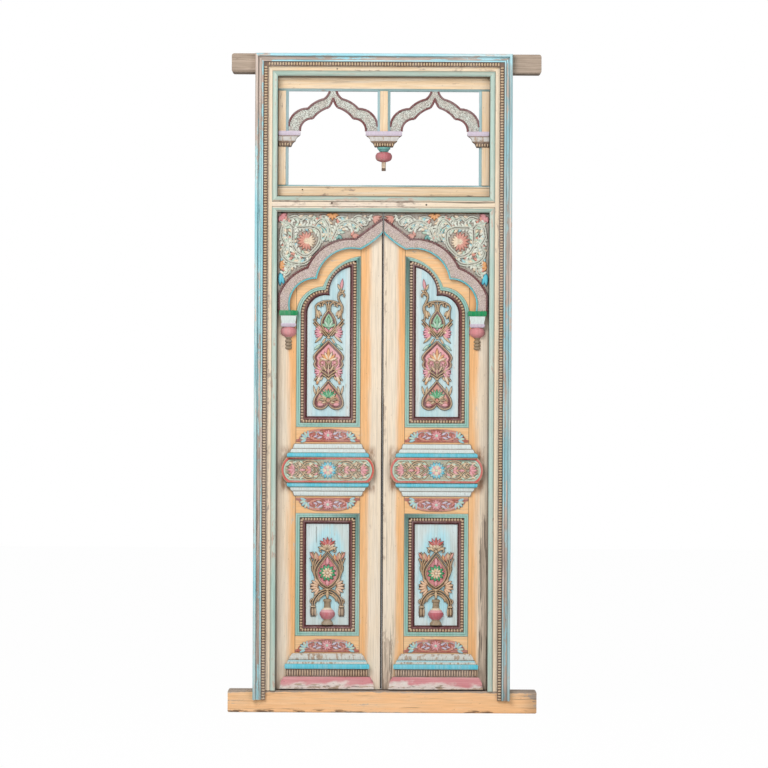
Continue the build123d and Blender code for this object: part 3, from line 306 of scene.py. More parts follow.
def casing_paint(axes, along):
    x, z = axes["X"], axes["Z"]
    out = most(abs(x), z - (DOOR_TOP - CASING_OUT))
    rub = noise(along, (26, 26, 1.6), 4)
    wear = zone(out, 444, 456, 2) * 0.30 + ramp(rub, 0.34, 0.80)
    wear = ramp(x, -0.40, -0.42) * ramp(z, 2.08, 2.34) * 0.35 + wear
    lines = most(seam(out, 438, 2.2, 0.8), seam(out, 457, 1.8, 0.65), seam(out, 445, 1.6, 0.55))
    foot = ramp(z, 0.130, 0.050) * ramp(rub, 0.36, 0.60) * 0.45
    side, crown = ramp(x, -0.3, 0.3), ramp(z, 2.350, 2.370)
    fresh = blend(side, paint(158, 213, 224), paint(162, 203, 211))
    faded = blend(side, paint(195, 221, 222), paint(198, 211, 209))
    fresh, faded = blend(crown, fresh, SKY), blend(crown, faded, paint(203, 228, 232))
    return fresh, faded, wear, most(lines, foot, cracked(along, 0.62, 0.7))


def jamb_paint(axes, along):
    out = abs(axes["X"])
    bead = zone(out, 380, 405.5)
    # The line at 386, along the jamb's inner edge beside the recessed leaf, is a painted shadow line.
    lines = most(seam(out, 406, 1.6, 0.6), seam(out, 386, 2.4, 0.8), seam(out, 422, 1.6, 0.5))
    lines = most(lines, cracked(along, 0.65, 0.55))
    return blend(bead, CREAM, AQUA), blend(bead, paint(240, 222, 197), PALE_AQUA), 0.33, lines


def head_paint(axes, along):
    z = axes["Z"]
    bead = zone(z, 2300, 2337.5)
    horn = ramp(abs(axes["X"]), 0.450, 0.462)
    # The line at 2318, along the head's lower edge over the light, is a painted shadow line.
    lines = most(seam(z, 2338, 1.6, 0.55), seam(z, 2318, 2.0, 0.7), nail(axes, -171, 2345))
    lines = most(lines, cracked(along, 0.65, 0.5)) * ramp(horn, 1.0, 0.0)
    # Painted shade under the horns.
    under = horn * ramp(z, 2.345, 2.320) * 0.55
    rot = horn * ramp(noise(along, (40, 40, 14), 4), 0.60, 0.72) * 0.6
    fresh, faded = blend(bead, APRICOT, DULL_AQUA), blend(bead, CREAM, PALE_DULL_AQUA)
    return fresh, faded, most(horn, 0.34), most(lines, under, rot)


def transom_paint(axes, along):
    z = axes["Z"]
    beads = zone(z, 1815, 1838) + zone(z, 1866, 1890)
    # The line at 1823, along the transom's foot over the leaves, is a painted shadow line.
    lines = most(seam(z, 1843, 2.2, 0.75), seam(z, 1861, 2.2, 0.75), seam(z, 1823, 2.5, 0.8))
    lines = most(lines, seam(z, 1881, 2.5, 0.7), cracked(along, 0.60, 0.8))
    lines = most(lines, nail(axes, -188, 1856, 4.0), nail(axes, 156, 1851, 4.0))
    edge = most(zone(z, 1838, 1843, 3), zone(z, 1861, 1866, 3)) * 0.46
    fresh = blend(beads, CREAM, DULL_AQUA)
    return fresh, blend(beads, paint(232, 218, 203), PALE_DULL_AQUA), most(edge, 0.38), lines


def sill_paint(axes, along):
    x, z = axes["X"], axes["Z"]
    edge, foot = ramp(z, 0.064, 0.078) * 0.62, ramp(z, 0.012, 0.0) * 0.5
    wear = most(edge, ramp(abs(x), 0.47, 0.57) * 0.46, foot, 0.29)
    cracks = ramp(noise(along, (150, 150, 3.2), 3), 0.61, 0.68) * 0.75
    chips = ramp(noise(along, (60, 60, 12), 4), 0.54, 0.62) * ramp(z, 0.016, 0.005) * 0.8
    lines = most(cracks, seam(z, 77.4, 2.2, 0.5), chips, ramp(x, 0.500, 0.560) * 0.30)
    return paint(243, 194, 144), paint(240, 200, 158), wear, lines


print("posts and beams mixed")

# %% Frame finishes


def light_rail_paint(axes, along):
    z = axes["Z"]
    edge = zone(z, 1918, 1932) + zone(z, 2260, 2275)
    fading = ramp(noise(along, (60, 60, 3), 2), 0.4, 0.6)
    fresh = blend(edge, blend(fading, CREAM, APRICOT), paint(150, 184, 184))
    # The lines at 1883 and 2316, where the rails meet the transom and the head, are painted shadow lines.
    lines = most(seam(z, 1883, 3.5, 0.75), seam(z, 2316, 3.0, 0.7), seam(z, 1914, 2.0, 0.75))
    lines = most(lines, nail(axes, -296, 1906), cracked(along, 0.64, 0.6))
    return fresh, blend(edge, APRICOT, PALE_SKY), 0.33, lines


def light_stile_paint(axes, along):
    out = abs(axes["X"])
    edge = zone(out, 340, 357.5) + zone(out, 14.0, 26)
    # The soft line at 386, where the stiles run in behind the jamb, is a painted shadow line.
    lines = most(seam(out, 386, 4.0, 0.8), seam(out, 357.5, 1.5, 0.5), seam(out, 14.5, 1.5, 0.5))
    return blend(edge, APRICOT, paint(160, 194, 198)), blend(edge, CREAM, PALE_SKY), 0.32, lines


finishes = {
    "casing": timber_finish("casing_blue", casing_paint, bare=PINK_WOOD),
    "casing_head": timber_finish("casing_blue_head", casing_paint, grain="X", bare=PINK_WOOD),
    "jamb": timber_finish("jamb_cream", jamb_paint, face=-49, bare=GREY_WOOD),
    "head_beam": timber_finish("head_cream", head_paint, face=-49, grain="X", bare=paint(177, 161, 146)),
    "transom_beam": timber_finish("transom_cream", transom_paint, face=-49, grain="X", bare=GREY_WOOD),
    "sill_beam": timber_finish("sill_orange", sill_paint, face=-44, grain="X", bare=GREY_WOOD, grime=0.5),
    "light_rail": timber_finish("light_rail_cream", light_rail_paint, grain="X"),
    "light_stile": timber_finish("light_stile_cream", light_stile_paint),
}
print(len(finishes), "frame finishes")

# %% [markdown]
# ## The colours of the leaves
# Stiles and rails fade from cream, where hands and weather reached them, to orange beside the
# mouldings. The foot of the right leaf is worn to grey wood. Upper panels are pale blue, lower
# panels are white with blue round their carving.

# %% Leaf finishes
MEETING_INNER, HINGE_INNER = 80.5, 316.0
COLUMN = (MEETING_INNER + HINGE_INNER) / 2
# Near black is the stiles' dark lines: cracks, and painted shade in the gap between the leaves and beside
# the jamb.
BROWN, NEARLY_BLACK = paint(148, 108, 80), paint(30, 21, 17)
HALO_LEVEL, HALO_HALF, HALO_HIGH = 0.50, 0.070, 0.18


def from_column(axes):
    """Distance from the middle of either leaf's panels."""
    return abs(abs(axes["X"]) - COLUMN * MM)


def stile_paint(axes, along):
    out, z = abs(axes["X"]), axes["Z"]
    near = out + drift(along, (30, 30, 2.5), 3, 0.05)
    orange = ramp(near, 0.040, 0.066) * ramp(near, 0.362, 0.330)
    right = ramp(axes["X"], -0.001, 0.001)
    rubbed = right * ramp(z, 0.46, 0.20) * ramp(near, 0.064, 0.032) * 0.62
    eroded = right * ramp(z, 0.95, 0.50) * ramp(near, 0.340, 0.372) * 0.82
    greyed = right * ramp(near, 0.034, 0.008)
    wear = most(rubbed, eroded, greyed * 0.42, 0.27)
    fresh = blend(orange, paint(232, 219, 200), paint(236, 180, 123))
    faded = blend(orange, paint(234, 217, 193), paint(234, 188, 138))
    cracks = cracked(along, 0.61, 0.9, (240, 240, 1.8)) * most(eroded * 1.2, greyed * 0.7, rubbed, 0.25)
    splits = cracked(along, 0.53, 1.0, (150, 150, 4.5)) * most(eroded, rubbed)
    # Painted shade in the gap between the meeting stiles, laid near black.
    meeting_gap_shade = ramp(out, 0.0052, 0.0034) * zone(z, 262, 1180, 60)
    meeting_gap_shade = most(meeting_gap_shade, ramp(out, 0.0042, 0.0026) * 0.85)
    smudge = zone(from_column(axes), 140, 173, 7) * zone(z, 806, 962, 20)
    smudge = smudge * ramp(noise(along, (60, 60, 22), 4), 0.30, 0.62) * 0.85
    # The soft line at 384, on the hinge stile beside the jamb, is a painted shadow line.
    lines = most(cracks, splits, meeting_gap_shade, seam(out, 384, 4.0, 0.6))
    lines = most(lines, seam(out, MEETING_INNER, 1.3, 0.6), seam(out, HINGE_INNER, 1.3, 0.6))
    return blend(smudge, fresh, BROWN), blend(smudge, faded, BROWN), wear, lines


def rail_paint(axes, along):
    out = abs(axes["X"])
    lines = most(seam(out, MEETING_INNER, 2.6, 0.85), seam(out, HINGE_INNER, 2.6, 0.85))
    return paint(236, 188, 136), paint(234, 198, 154), 0.3, lines


def upper_panel_paint(axes, along):
    white = ramp(from_column(axes) + drift(along, (30, 30, 8), 3, 0.03), 0.050, 0.076)
    fresh = blend(white, paint(182, 216, 224), paint(205, 222, 225))
    return fresh, blend(white, paint(200, 223, 226), paint(214, 222, 220)), 0.28, None


def lower_panel_paint(axes, along):
    across, up = from_column(axes) * (1 / HALO_HALF), (axes["Z"] - HALO_LEVEL) * (1 / HALO_HIGH)
    away = (across * across + up * up).math("SQRT")
    white = ramp(away + drift(along, (16, 16, 10), 2, 0.5), 0.78, 1.16)
    wobble = drift(along, (40, 40, 40), 2, 0.006)
    crack = seam(axes["X"] + wobble, -239, 1.6, 0.9) * zone(axes["Z"], 617, 676, 4)
    fresh = blend(white, paint(172, 220, 232), paint(210, 226, 228))
    return fresh, blend(white, paint(195, 225, 228), paint(195, 207, 203)), 0.31, crack


leaf_paints = {
    "stile": ("stile_apricot", stile_paint, -17, {"bare": paint(207, 191, 173), "dark": NEARLY_BLACK}),
    "rail": ("rail_orange", rail_paint, -17, {"grain": "X", "bare": GREY_WOOD}),
    "upper_panel": ("upper_panel_blue", upper_panel_paint, -3, {"bare": GREY_WOOD}),
    "lower_panel": ("lower_panel_white", lower_panel_paint, -3, {"bare": GREY_WOOD, "grime": 0.5}),
}
for name, (title, paint_at, face, settings) in leaf_paints.items():
    finishes[name] = timber_finish(title, paint_at, face, **settings)
print(len(finishes), "timber finishes")

# %% Dress the plain timbers
dressed = {
    "casing": "casing_left casing_right",
    "casing_head": "casing_head",
    "jamb": "jamb_left jamb_right",
    "head_beam": "head_beam",
    "transom_beam": "transom_beam",
    "sill_beam": "sill_beam",
    "light_rail": "light_top_rail light_bottom_rail",
    "light_stile": "light_stile_left light_stile_right light_mullion",
    "stile": "hinge_stile_left hinge_stile_right meeting_stile_left meeting_stile_right",
    "rail": "top_rail_left top_rail_right",
    "upper_panel": "upper_panel_left upper_panel_right",
    "lower_panel": "lower_panel_left lower_panel_right",
}
for finish, names in dressed.items():
    for name in names.split():
        for slot in timbers[name].material_slots:
            slot.link = "OBJECT"
            slot.material = finishes[finish]
print("dressed", sum(len(names.split()) for names in dressed.values()), "timbers")

# %% [markdown]
# ## Finishes for carving
# Carved work is painted on its ridges, while dirt and old varnish stay in the hollows, and the hollows
# also get painted shade. So every carved piece stores how high each point stands, from 0 in the hollow
# to 1 on the ridge, as an attribute called rise. The finish mixes a deep colour, dirt and painted shade,
# to the paint by it.
# The backs of the light's pieces, which nobody painted, are bare wood.

# %% Carved finish


def bare_behind(colour, axes, rise, start, end):
    """Bare wood on the flat back of a piece, between two depths in metres."""
    return blend(ramp(axes["Y"], start, end) * ramp(rise, 0.3, 0.0), colour, WOOD)


def carved_finish(name, top, deep, wear):
    finish, place, axes = blank_finish("carved_" + name)
    rise = wire(place.tree, "Attribute", output="Fac", attribute_name="rise")
    high = ramp(rise + drift(place, (140, 140, 140), 3, 0.7), 0.12, 0.78)
    pale = tuple(value + (0.7 - value) * 0.2 for value in top[:3]) + (1.0,)
    inputs = {"Vector": place, "Paint": top, "Faded": pale, "Bare": WOOD, "Wear": wear, "Grime": 0.45}
    aged = wires(put(place.tree, "Group", inputs, node_tree=weathered))
    # Dirt and painted shade: the deep colour fills the low parts, by rise.
    colour = bare_behind(blend(high, deep, aged["Color"]), axes, rise, 0.012, 0.017)
    close_finish(colour, aged["Roughness"], aged["Height"], 0.3)
    return finish


print("carved finish ready")

# %% Carved colours
# Paint on the ridge, then the colour of the hollow, which is dirt and painted shade
carved_colours = {
    "gold": ((210, 184, 150), (70, 50, 40)),
    "pink": ((224, 160, 166), (136, 74, 76)),
    "rose": ((208, 136, 140), (120, 64, 66)),
    "green": ((140, 190, 156), (64, 96, 74)),
    "emerald": ((70, 164, 112), (34, 84, 60)),
    "orange": ((226, 166, 112), (138, 84, 54)),
    "cream": ((228, 210, 184), (130, 102, 82)),
    "maroon": ((122, 76, 76), (80, 46, 46)),
    "leaf": ((216, 220, 208), (104, 90, 80)),
    "teal": ((106, 168, 162), (60, 90, 88)),
    "blue": ((94, 196, 217), (58, 108, 126)),
    "sky": ((156, 202, 210), (80, 112, 120)),
    "white": ((210, 222, 220), (130, 124, 118)),
    "lavender": ((204, 192, 208), (126, 108, 118)),
    "brick": ((184, 108, 92), (104, 60, 50)),
    "salmon": ((210, 148, 132), (122, 70, 60)),
    "red": ((204, 96, 86), (120, 56, 50)),
    "mint": ((186, 212, 194), (100, 108, 98)),
    "aqua": ((150, 194, 182), (76, 102, 94)),
    "roll": ((202, 176, 144), (84, 62, 48)),
    "channel": ((120, 97, 82), (66, 48, 40)),
    "reed": ((198, 170, 144), (70, 50, 40)),
    "olive": ((160, 140, 112), (76, 58, 44)),
    # A brown for stems, also laid as painted shade on the sides of pieces and as painted shadow lines
    # between steps
    "stem": ((136, 112, 92), (52, 38, 32)),
    "ground": ((180, 171, 159), (90, 76, 66)),
    "sage": ((178, 178, 154), (108, 92, 76)),
    "berry": ((190, 100, 110), (120, 60, 64)),
    "deep_green": ((20, 136, 82), (16, 70, 44)),
    "worn_white": ((206, 208, 202), (126, 108, 94)),
    "worn_chalk": ((204, 202, 198), (88, 72, 62)),
    "worn_berry": ((188, 110, 116), (124, 66, 68)),
    "bar": ((203, 173, 142), (122, 97, 78)),
    "groove": ((148, 121, 101), (106, 83, 69)),
    # A dark colour laid as painted shade under raised lines, shells and vines
    "edge": ((92, 70, 56), (60, 44, 36)),
    "ridge": ((218, 192, 158), (104, 78, 60)),
    "shell": ((226, 192, 162), (104, 74, 56)),
    "shell_pink": ((226, 164, 176), (136, 70, 84)),
}
carved = {}
for name, (top, deep) in carved_colours.items():
    carved[name] = carved_finish(name, paint(*top), paint(*deep), 0.44 if "worn" in name else 0.24)
print(len(carved), "carved finishes")

# %% [markdown]
# ## Finishes with a worked ground
# The arches are stippled with a punch, and the plinth's paint is worn away towards the floor. Both
# are patterns inside one colour, so they are small finishes of their own.

# %% Stippled and worn grounds


def stippled_finish(name, base, dot, warm, size):
    finish, place, axes = blank_finish("stippled_" + name)
    slant = {"Vector": place, "Rotation": (0, 0.6, 0), "Scale": (1.0, 1.0, 1.9)}
    dots = {"Vector": wire(place.tree, "Mapping", slant), "Scale": size}
    mark = ramp(wire(place.tree, "TexVoronoi", dots, "Distance"), 0.34, 0.70)
    tint = ramp(noise(place, (55, 55, 55), 3), 0.42, 0.62)
    rise = wire(place.tree, "Attribute", output="Fac", attribute_name="rise")
    colour = blend(mark, blend(tint, base, warm), dot)
    # Painted shade: the low sides of the board, by rise, go dark.
    colour = bare_behind(blend(ramp(rise, 0.25, 0.7), DIRT_AND_SHADE, colour), axes, rise, 0.003, 0.0065)
    close_finish(colour, 0.7, mark * -1.0, 0.4)
    return finish


def plinth_paint(axes, along):
    ragged = drift(along, (30, 30, 14), 4, 0.075)
    height = axes["Z"] + ragged
    fresh = blend(ramp(height, 0.095, 0.111), paint(224, 216, 210), paint(206, 136, 141))
    worn = ramp(height, 0.108, 0.090) * 0.16 + 0.32
    chips = ramp(noise(along, (110, 110, 22), 4), 0.56, 0.62) * ramp(axes["Z"], 0.104, 0.090) * 0.8
    end = ramp(from_column(axes), 0.154, 0.172) * ramp(ragged, 0.0, 0.012) * 0.6
    return fresh, blend(0.4, fresh, paint(220, 184, 182)), worn, most(chips, end)


arch_colours = {
    "arch_mauve": (paint(213, 197, 191), paint(164, 145, 139), paint(207, 192, 178), 250),
    "arch_mint": (paint(223, 229, 219), paint(148, 144, 136), paint(217, 211, 200), 240),
}
for name, colours in arch_colours.items():
    carved[name] = stippled_finish(name, *colours)
carved["plinth"] = timber_finish("plinth_pink", plinth_paint, grain="X", grime=0.5)
carved["rail"] = finishes["rail"]
print(len(carved), "finishes for modelled pieces")

# %% [markdown]
# ## Drawing on paper
# A carver first draws on paper, and so does this lesson. A place is a pair of X and Z in millimetres.
# These helpers step away from a place, draw arcs and run them into one line, move a line sideways, and
# walk along it at an even pace.

# %% Places and lines


def away(root, angle, along, across=0.0):
    """The place so far along an angle from a root, and so far to its left."""
    turn = math.radians(angle)
    x = root[0] + along * math.cos(turn) - across * math.sin(turn)
    return x, root[1] + along * math.sin(turn) + across * math.cos(turn)


def arc(start, middle, end, steps):
    """Points on the circle through three points in X and Z."""
    (ax, az), (bx, bz), (cx, cz) = start, middle, end
    twice = 2 * (ax * (bz - cz) + bx * (cz - az) + cx * (az - bz))
    a, b, c = ax * ax + az * az, bx * bx + bz * bz, cx * cx + cz * cz
    ux = (a * (bz - cz) + b * (cz - az) + c * (az - bz)) / twice
    uz = (a * (cx - bx) + b * (ax - cx) + c * (bx - ax)) / twice
    radius = math.hypot(ax - ux, az - uz)
    first = math.atan2(az - uz, ax - ux)
    sweep = (math.atan2(cz - uz, cx - ux) - first) % math.tau
    if (math.atan2(bz - uz, bx - ux) - first) % math.tau > sweep:
        sweep -= math.tau
    angles = [first + sweep * step / steps for step in range(steps + 1)]
    return [(ux + radius * math.cos(angle), uz + radius * math.sin(angle)) for angle in angles]


def chain(parts):
    """Several runs of points as one, without the doubled ends."""
    points = list(parts[0])
    for part in parts[1:]:
        points += part[1:]
    return points


def mix(a, b, share):
    """The place at a share of the way from one point to another."""
    return tuple(p + (q - p) * share for p, q in zip(a, b))


def beside(path, shift):
    """The same line, moved sideways."""
    moved = []
    for index, point in enumerate(path):
        a, b = path[max(index - 1, 0)], path[min(index + 1, len(path) - 1)]
        length = math.dist(a, b) or 1
        across, up = (b[1] - a[1]) / length * shift, (b[0] - a[0]) / length * shift
        moved.append((point[0] - across, point[1] + up))
    return moved


def lobes(points, steps):
    """Arcs through a run of points, each starting where the last one ended."""
    return [arc(*points[index : index + 3], steps) for index in range(0, len(points) - 1, 2)]


def evenly(path, pitch):
    """Places along a path at an even pitch, with the path's angle at each."""
    lengths = [math.dist(a, b) for a, b in zip(path, path[1:])]
    count = int(sum(lengths) / pitch)
    found, index, passed = [], 0, 0.0
    for step in range(count):
        want = (step + 0.5) * sum(lengths) / count
        while passed + lengths[index] < want:
            passed += lengths[index]
            index += 1
        a, b = path[index], path[index + 1]
        angle = math.degrees(math.atan2(b[1] - a[1], b[0] - a[0]))
        found.append((mix(a, b, (want - passed) / lengths[index]), angle))
    return found


print("drawing helpers ready")

# %% [markdown]
# ## A carver's bench
# Each carved piece starts as an empty bmesh. The bench offers the few forms that this carving is made of.
# First come those cut from the solid: a sheet bent to shape, a board cut to an outline, and mouldings.
# Every form is closed at its back, and knows its paint and its rise.

# %% Blank pieces
CREASE = 38
counts = {}


class Block:
    """A piece of wood on the bench."""

    def __init__(self):
        self.bm = bmesh.new()
        self.rise = self.bm.verts.layers.float.new("rise")
        self.paints = []

    def slot(self, name):
        """The place of a paint in the list of this piece."""
        if name not in self.paints:
            self.paints.append(name)
        return self.paints.index(name)

    def mark(self, verts, name, ground, top):
        """Paints the faces of new points and stores how high they stand."""
        index = self.slot(name) if name else None
        for vert in verts:
            vert[self.rise] = min(max((ground - vert.co.y) / (ground - top), 0.0), 1.0)
            if index is not None:
                for face in vert.link_faces:
                    face.material_index = index

    def close(self, faces, back, verts):
        """Runs the faces straight back to a flat back."""
        made = bmesh.ops.extrude_face_region(self.bm, geom=list(faces))["geom"]
        fresh = [item for item in made if isinstance(item, bmesh.types.BMVert)]
        # Back points get rise 0, so the sides darken towards their deep colour of dirt and painted shade.
        for vert in fresh:
            vert.co.y = back
            vert[self.rise] = 0.0
        bmesh.ops.remove_doubles(self.bm, verts=list(verts) + fresh, dist=0.001)

    def flipped(self, middle=0.0):
        """A mirrored copy, about a level of X."""
        copy = type(self)()
        copy.bm.free()
        copy.bm = self.bm.copy()
        copy.rise = copy.bm.verts.layers.float["rise"]
        copy.paints = list(self.paints)
        for vert in copy.bm.verts:
            vert.co.x = 2 * middle - vert.co.x
        bmesh.ops.reverse_faces(copy.bm, faces=copy.bm.faces)
        return copy

    def finish(self, name, body, slot):
        """Makes the bmesh an object in metres that rides on a body and stands for its solid."""
        bmesh.ops.recalc_face_normals(self.bm, faces=self.bm.faces)
        bmesh.ops.scale(self.bm, vec=(MM, MM, MM), verts=self.bm.verts)
        mesh = bpy.data.meshes.new(name)
        self.bm.to_mesh(mesh)
        self.bm.free()
        for paint_name in self.paints:
            mesh.materials.append(carved[paint_name])
        mesh.shade_smooth()
        mesh.set_sharp_from_angle(angle=math.radians(CREASE))
        piece = bpy.data.objects.new("carved_" + name, mesh)
        bpy.context.collection.objects.link(piece)
        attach(piece, body)
        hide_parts(name)
        counts[name] = sum(len(face.vertices) - 2 for face in mesh.polygons)


print("blank pieces ready")

# %% Boards and mouldings
RETURN = 2.5


class Board(Block):
    """A piece that is cut from the solid."""

    def sheet(self, rows, back, paint_at, ground, top):
        """A grid bent through rows of points, and closed at the back."""
        columns, lines = len(rows[0]) - 1, len(rows) - 1
        verts = bmesh.ops.create_grid(self.bm, x_segments=lines, y_segments=columns, size=1)["verts"]
        place = {}
        for vert in verts:
            i, j = round((vert.co.x + 1) / 2 * lines), round((vert.co.y + 1) / 2 * columns)
            place[vert] = (i, j)
        faces = {face for vert in verts for face in vert.link_faces}
        for face in faces:
            i = min(place[vert][0] for vert in face.verts)
            j = min(place[vert][1] for vert in face.verts)
            face.material_index = self.slot(paint_at(i, j))
        for vert, (i, j) in place.items():
            vert.co = rows[i][j]
        self.mark(verts, None, ground, top)
        self.close(faces, back, verts)

    def board(self, outline, back, front, name, rise=1.0):
        """A flat shape, given as points in X and Z."""
        verts = [self.bm.verts.new((x, front, z)) for x, z in outline]
        face = self.bm.faces.new(verts)
        face.material_index = self.slot(name)
        # A rise below 1 makes a sunk ground take part of its deep colour, dirt and painted shade.
        for vert in verts:
            vert[self.rise] = rise
        self.close([face], back, verts)

    def framed(self, ring, section, paints, back, ground, top):
        """A moulding run along a line. ring gives the line at each share of the section's way across."""
        lines = [ring(share) for share, depth in section]
        rows = []
        for places in zip(*lines):
            rows.append([(x, depth, z) for (x, z), (share, depth) in zip(places, section)])
        self.sheet(rows, back, lambda i, j: paints[j], ground, top)

    def moulded(self, rows, paints, back, ground, top, end=None):
        """A moulding with returned ends. Each row is a level, its two ends and its front."""
        points = []
        for z, x0, x1, y in rows:
            places = [(x0, back), (x0, y), (x0 + RETURN, y), (x1 - RETURN, y), (x1, y), (x1, back)]
            points.append([(x, depth, z) for x, depth in places])
        self.sheet(points, back, lambda i, j: paints[i] if j == 2 or not end else end, ground, top)

    def stepped(self, steps, middle, back, ground, top, end=None):
        """A moulding about a middle. A step is a level, its half width, its front and the paint above."""
        rows = [(z, middle - half, middle + half, y) for z, half, y, name in steps]
        self.moulded(rows, [step[3] for step in steps], back, ground, top, end)


print("boards and mouldings ready")

# %% [markdown]
# ## The carver's forms
# The second half of the bench has the forms of the carving itself: raised lines, turned forms, petals,
# rolls, and shells made of rolls. Each is made whole and laid on the ground of its piece, as that is
# simpler than cutting it out and looks the same.

# %% Lines and turned forms


class Lined(Board):
    """A piece with raised lines or a turned form on it."""

    def lines(self, paths, radius, ground, proud, name, smooth=True, tip=0.55):
        """Raised lines with a half-round section, thinner towards their ends."""
        curve = bpy.data.curves.new("line", "CURVE")
        curve.dimensions = "3D"
        curve.bevel_depth = 1.0
        curve.bevel_resolution = 1
        curve.resolution_u = 4
        curve.use_fill_caps = True
        for path in paths:
            spline = curve.splines.new("BEZIER" if smooth else "POLY")
            points = spline.bezier_points if smooth else spline.points
            points.add(len(path) - 1)
            for index, (point, (x, z)) in enumerate(zip(points, path)):
                end = abs(2 * index / (len(path) - 1) - 1)
                point.radius = radius * (1 - (1 - tip) * end**3)
                if smooth:
                    point.co = (x, 0, z)
                    point.handle_left_type = point.handle_right_type = "AUTO"
                else:
                    point.co = (x, 0, z, 1)
        holder = bpy.data.objects.new("line", curve)
        mesh = bpy.data.meshes.new_from_object(holder)
        old = set(self.bm.verts)
        self.bm.from_mesh(mesh)
        fresh = [vert for vert in self.bm.verts if vert not in old]
        for vert in fresh:
            vert.co.y = ground + min(vert.co.y / radius * proud, 0.0)
        self.mark(fresh, name, ground, ground - proud)
        bpy.data.meshes.remove(mesh)
        bpy.data.objects.remove(holder)
        bpy.data.curves.remove(curve)

    def strands(self, paths, radius, ground, proud, name):
        """Lines as a carver cuts them: a light ridge on a wider dark edge of painted shade."""
        self.lines(paths, radius * 1.22, ground, proud * 0.3, "edge", tip=0.9)
        self.lines(paths, radius * 0.78, ground, proud, name, tip=0.8)

    def turned(self, profile, x, y, bands, sweep=360):
        """A turned form. The profile lists radius and level, the bands list where each paint ends."""
        line = [self.bm.verts.new((x + radius, y, level)) for radius, level in profile]
        edges = [self.bm.edges.new(ends) for ends in zip(line, line[1:])]
        old = set(self.bm.verts) - set(line)
        bmesh.ops.spin(
            self.bm,
            geom=line + edges,
            cent=(x, y, 0),
            axis=(0, 0, 1),
            angle=-math.radians(sweep),
            steps=round(sweep / 15),
            use_merge=sweep == 360,
        )
        fresh = [vert for vert in self.bm.verts if vert not in old]
        bmesh.ops.remove_doubles(self.bm, verts=fresh, dist=0.01)
        fresh = [vert for vert in self.bm.verts if vert not in old]
        rim = [edge for vert in fresh for edge in vert.link_edges if edge.is_boundary]
        if rim:
            bmesh.ops.holes_fill(self.bm, edges=list(set(rim)))
        widest = max(radius for radius, level in profile)
        # rise falls where the form is narrow, so its necks take dirt and painted shade.
        for vert in fresh:
            reach = math.hypot(vert.co.x - x, vert.co.y - y)
            vert[self.rise] = min(1.0, 0.35 + 0.65 * reach / widest)
            for face in vert.link_faces:
                level = face.calc_center_median().z
                face.material_index = self.slot(next(name for end, name in bands if level < end))


print("lines and turned forms ready")

# %% Petals, rolls and shells


class Carving(Lined):
    """A piece with everything that the carver can make."""

    def petal(self, root, angle, length, width, ground, proud, name):
        """A pointed petal that grows from its root, highest along its middle."""
        verts = bmesh.ops.create_icosphere(self.bm, subdivisions=2, radius=1.0)["verts"]
        for vert in verts:
            outer = max(vert.co.x, 0.0)
            across = vert.co.z * width / 2 * (1 - 0.6 * outer**2)
            depth = ground + min(vert.co.y * proud * (1 - 0.35 * outer), 0.0)
            x, z = away(root, angle, (vert.co.x + 1) / 2 * length, across)
            vert.co = (x, depth, z)
        self.mark(verts, name, ground, ground - proud)

    def fan(self, root, first, last, count, length, width, ground, proud, names):
        """Petals spread between two angles, in one colour or in turns of several."""
        for index in range(count):
            angle = first + (last - first) * index / max(count - 1, 1)
            self.petal(root, angle, length, width, ground, proud, names[index % len(names)])

    def roll(self, middle, half_length, half_width, angle, ground, proud, name):
        """A half-round roll, lying at an angle."""
        verts = bmesh.ops.create_uvsphere(self.bm, u_segments=8, v_segments=5, radius=1.0)["verts"]
        for vert in verts:
            depth = ground + min(vert.co.z, 0.0) * proud
            x, z = away(middle, angle, vert.co.x * half_length, vert.co.y * half_width)
            vert.co = (x, depth, z)
        self.mark(verts, name, ground, ground - proud)

    def rolls(self, path, pitch, half_length, half_width, ground, proud, name):
        """A row of rolls, each laid across a path."""
        for place, angle in evenly(path, pitch):
            self.roll(place, half_length, half_width, angle + 90, ground, proud, name)

    def knob(self, middle, radius, ground, proud, name, deep=None):
        """A flat round button, or a roll where deep gives its other half width."""
        self.roll(middle, radius, deep or radius, 0.0, ground, proud, name)

    def shell(self, root, first, last, count, reach, width, ground, proud, names):
        """Round fingers spread between two angles, on a dark knob of painted shade when they spread less
        than half round.
        """
        if abs(last - first) < 180:
            middle = away(root, (first + last) / 2, 0.55 * reach)
            self.knob(middle, reach * 0.40, ground, proud * 0.35, "edge")
        half = reach * 0.42
        for index in range(count):
            angle = first + (last - first) * index / max(count - 1, 1)
            place = away(root, angle, reach - half)
            self.roll(place, half, width / 2, angle, ground, proud, names[index % len(names)])

    def flower(self, middle, count, radius, width, ground, proud, names, heart):
        """Petals all round a button."""
        self.fan(middle, 0, 360 - 360 / count, count, radius, width, ground, proud, names)
        self.knob(middle, radius * 0.34, ground, proud * 1.25, heart)


def pair(carving, name, slot, right="right_leaf", left="left_leaf"):
    """The piece on the right, and its mirror image on the left."""
    other = carving.flipped()
    carving.finish(name + "_right", right, slot)
    other.finish(name + "_left", left, slot)
    print(name, counts[name + "_right"], "triangles on each side")


print("carving tools ready")

# %% [markdown]
# ## Bead strips of the frame
# Between the blue casing and the cream flat runs a strip of little rolls, carved one by one. A strip
# is a flat lath and a few hundred rolls, each of only a few dozen faces. The rolls could be a bump in
# the finish, but their outline shows against the flat, so they are real.

# %% Bead strips
STRIP_IN, STRIP_OUT = 422.0, 438.0
STRIP_FOOT, STRIP_HEAD, HEAD_STRIP = 47.0, 2354.0, 2370.0
FRAME_FRONT, STRIP_FRONT = -50.0, -61.0
ROLL_PITCH, ROLL_LONG, ROLL_WIDE, ROLL_PROUD = 10.0, 15.8, 8.8, 5.0

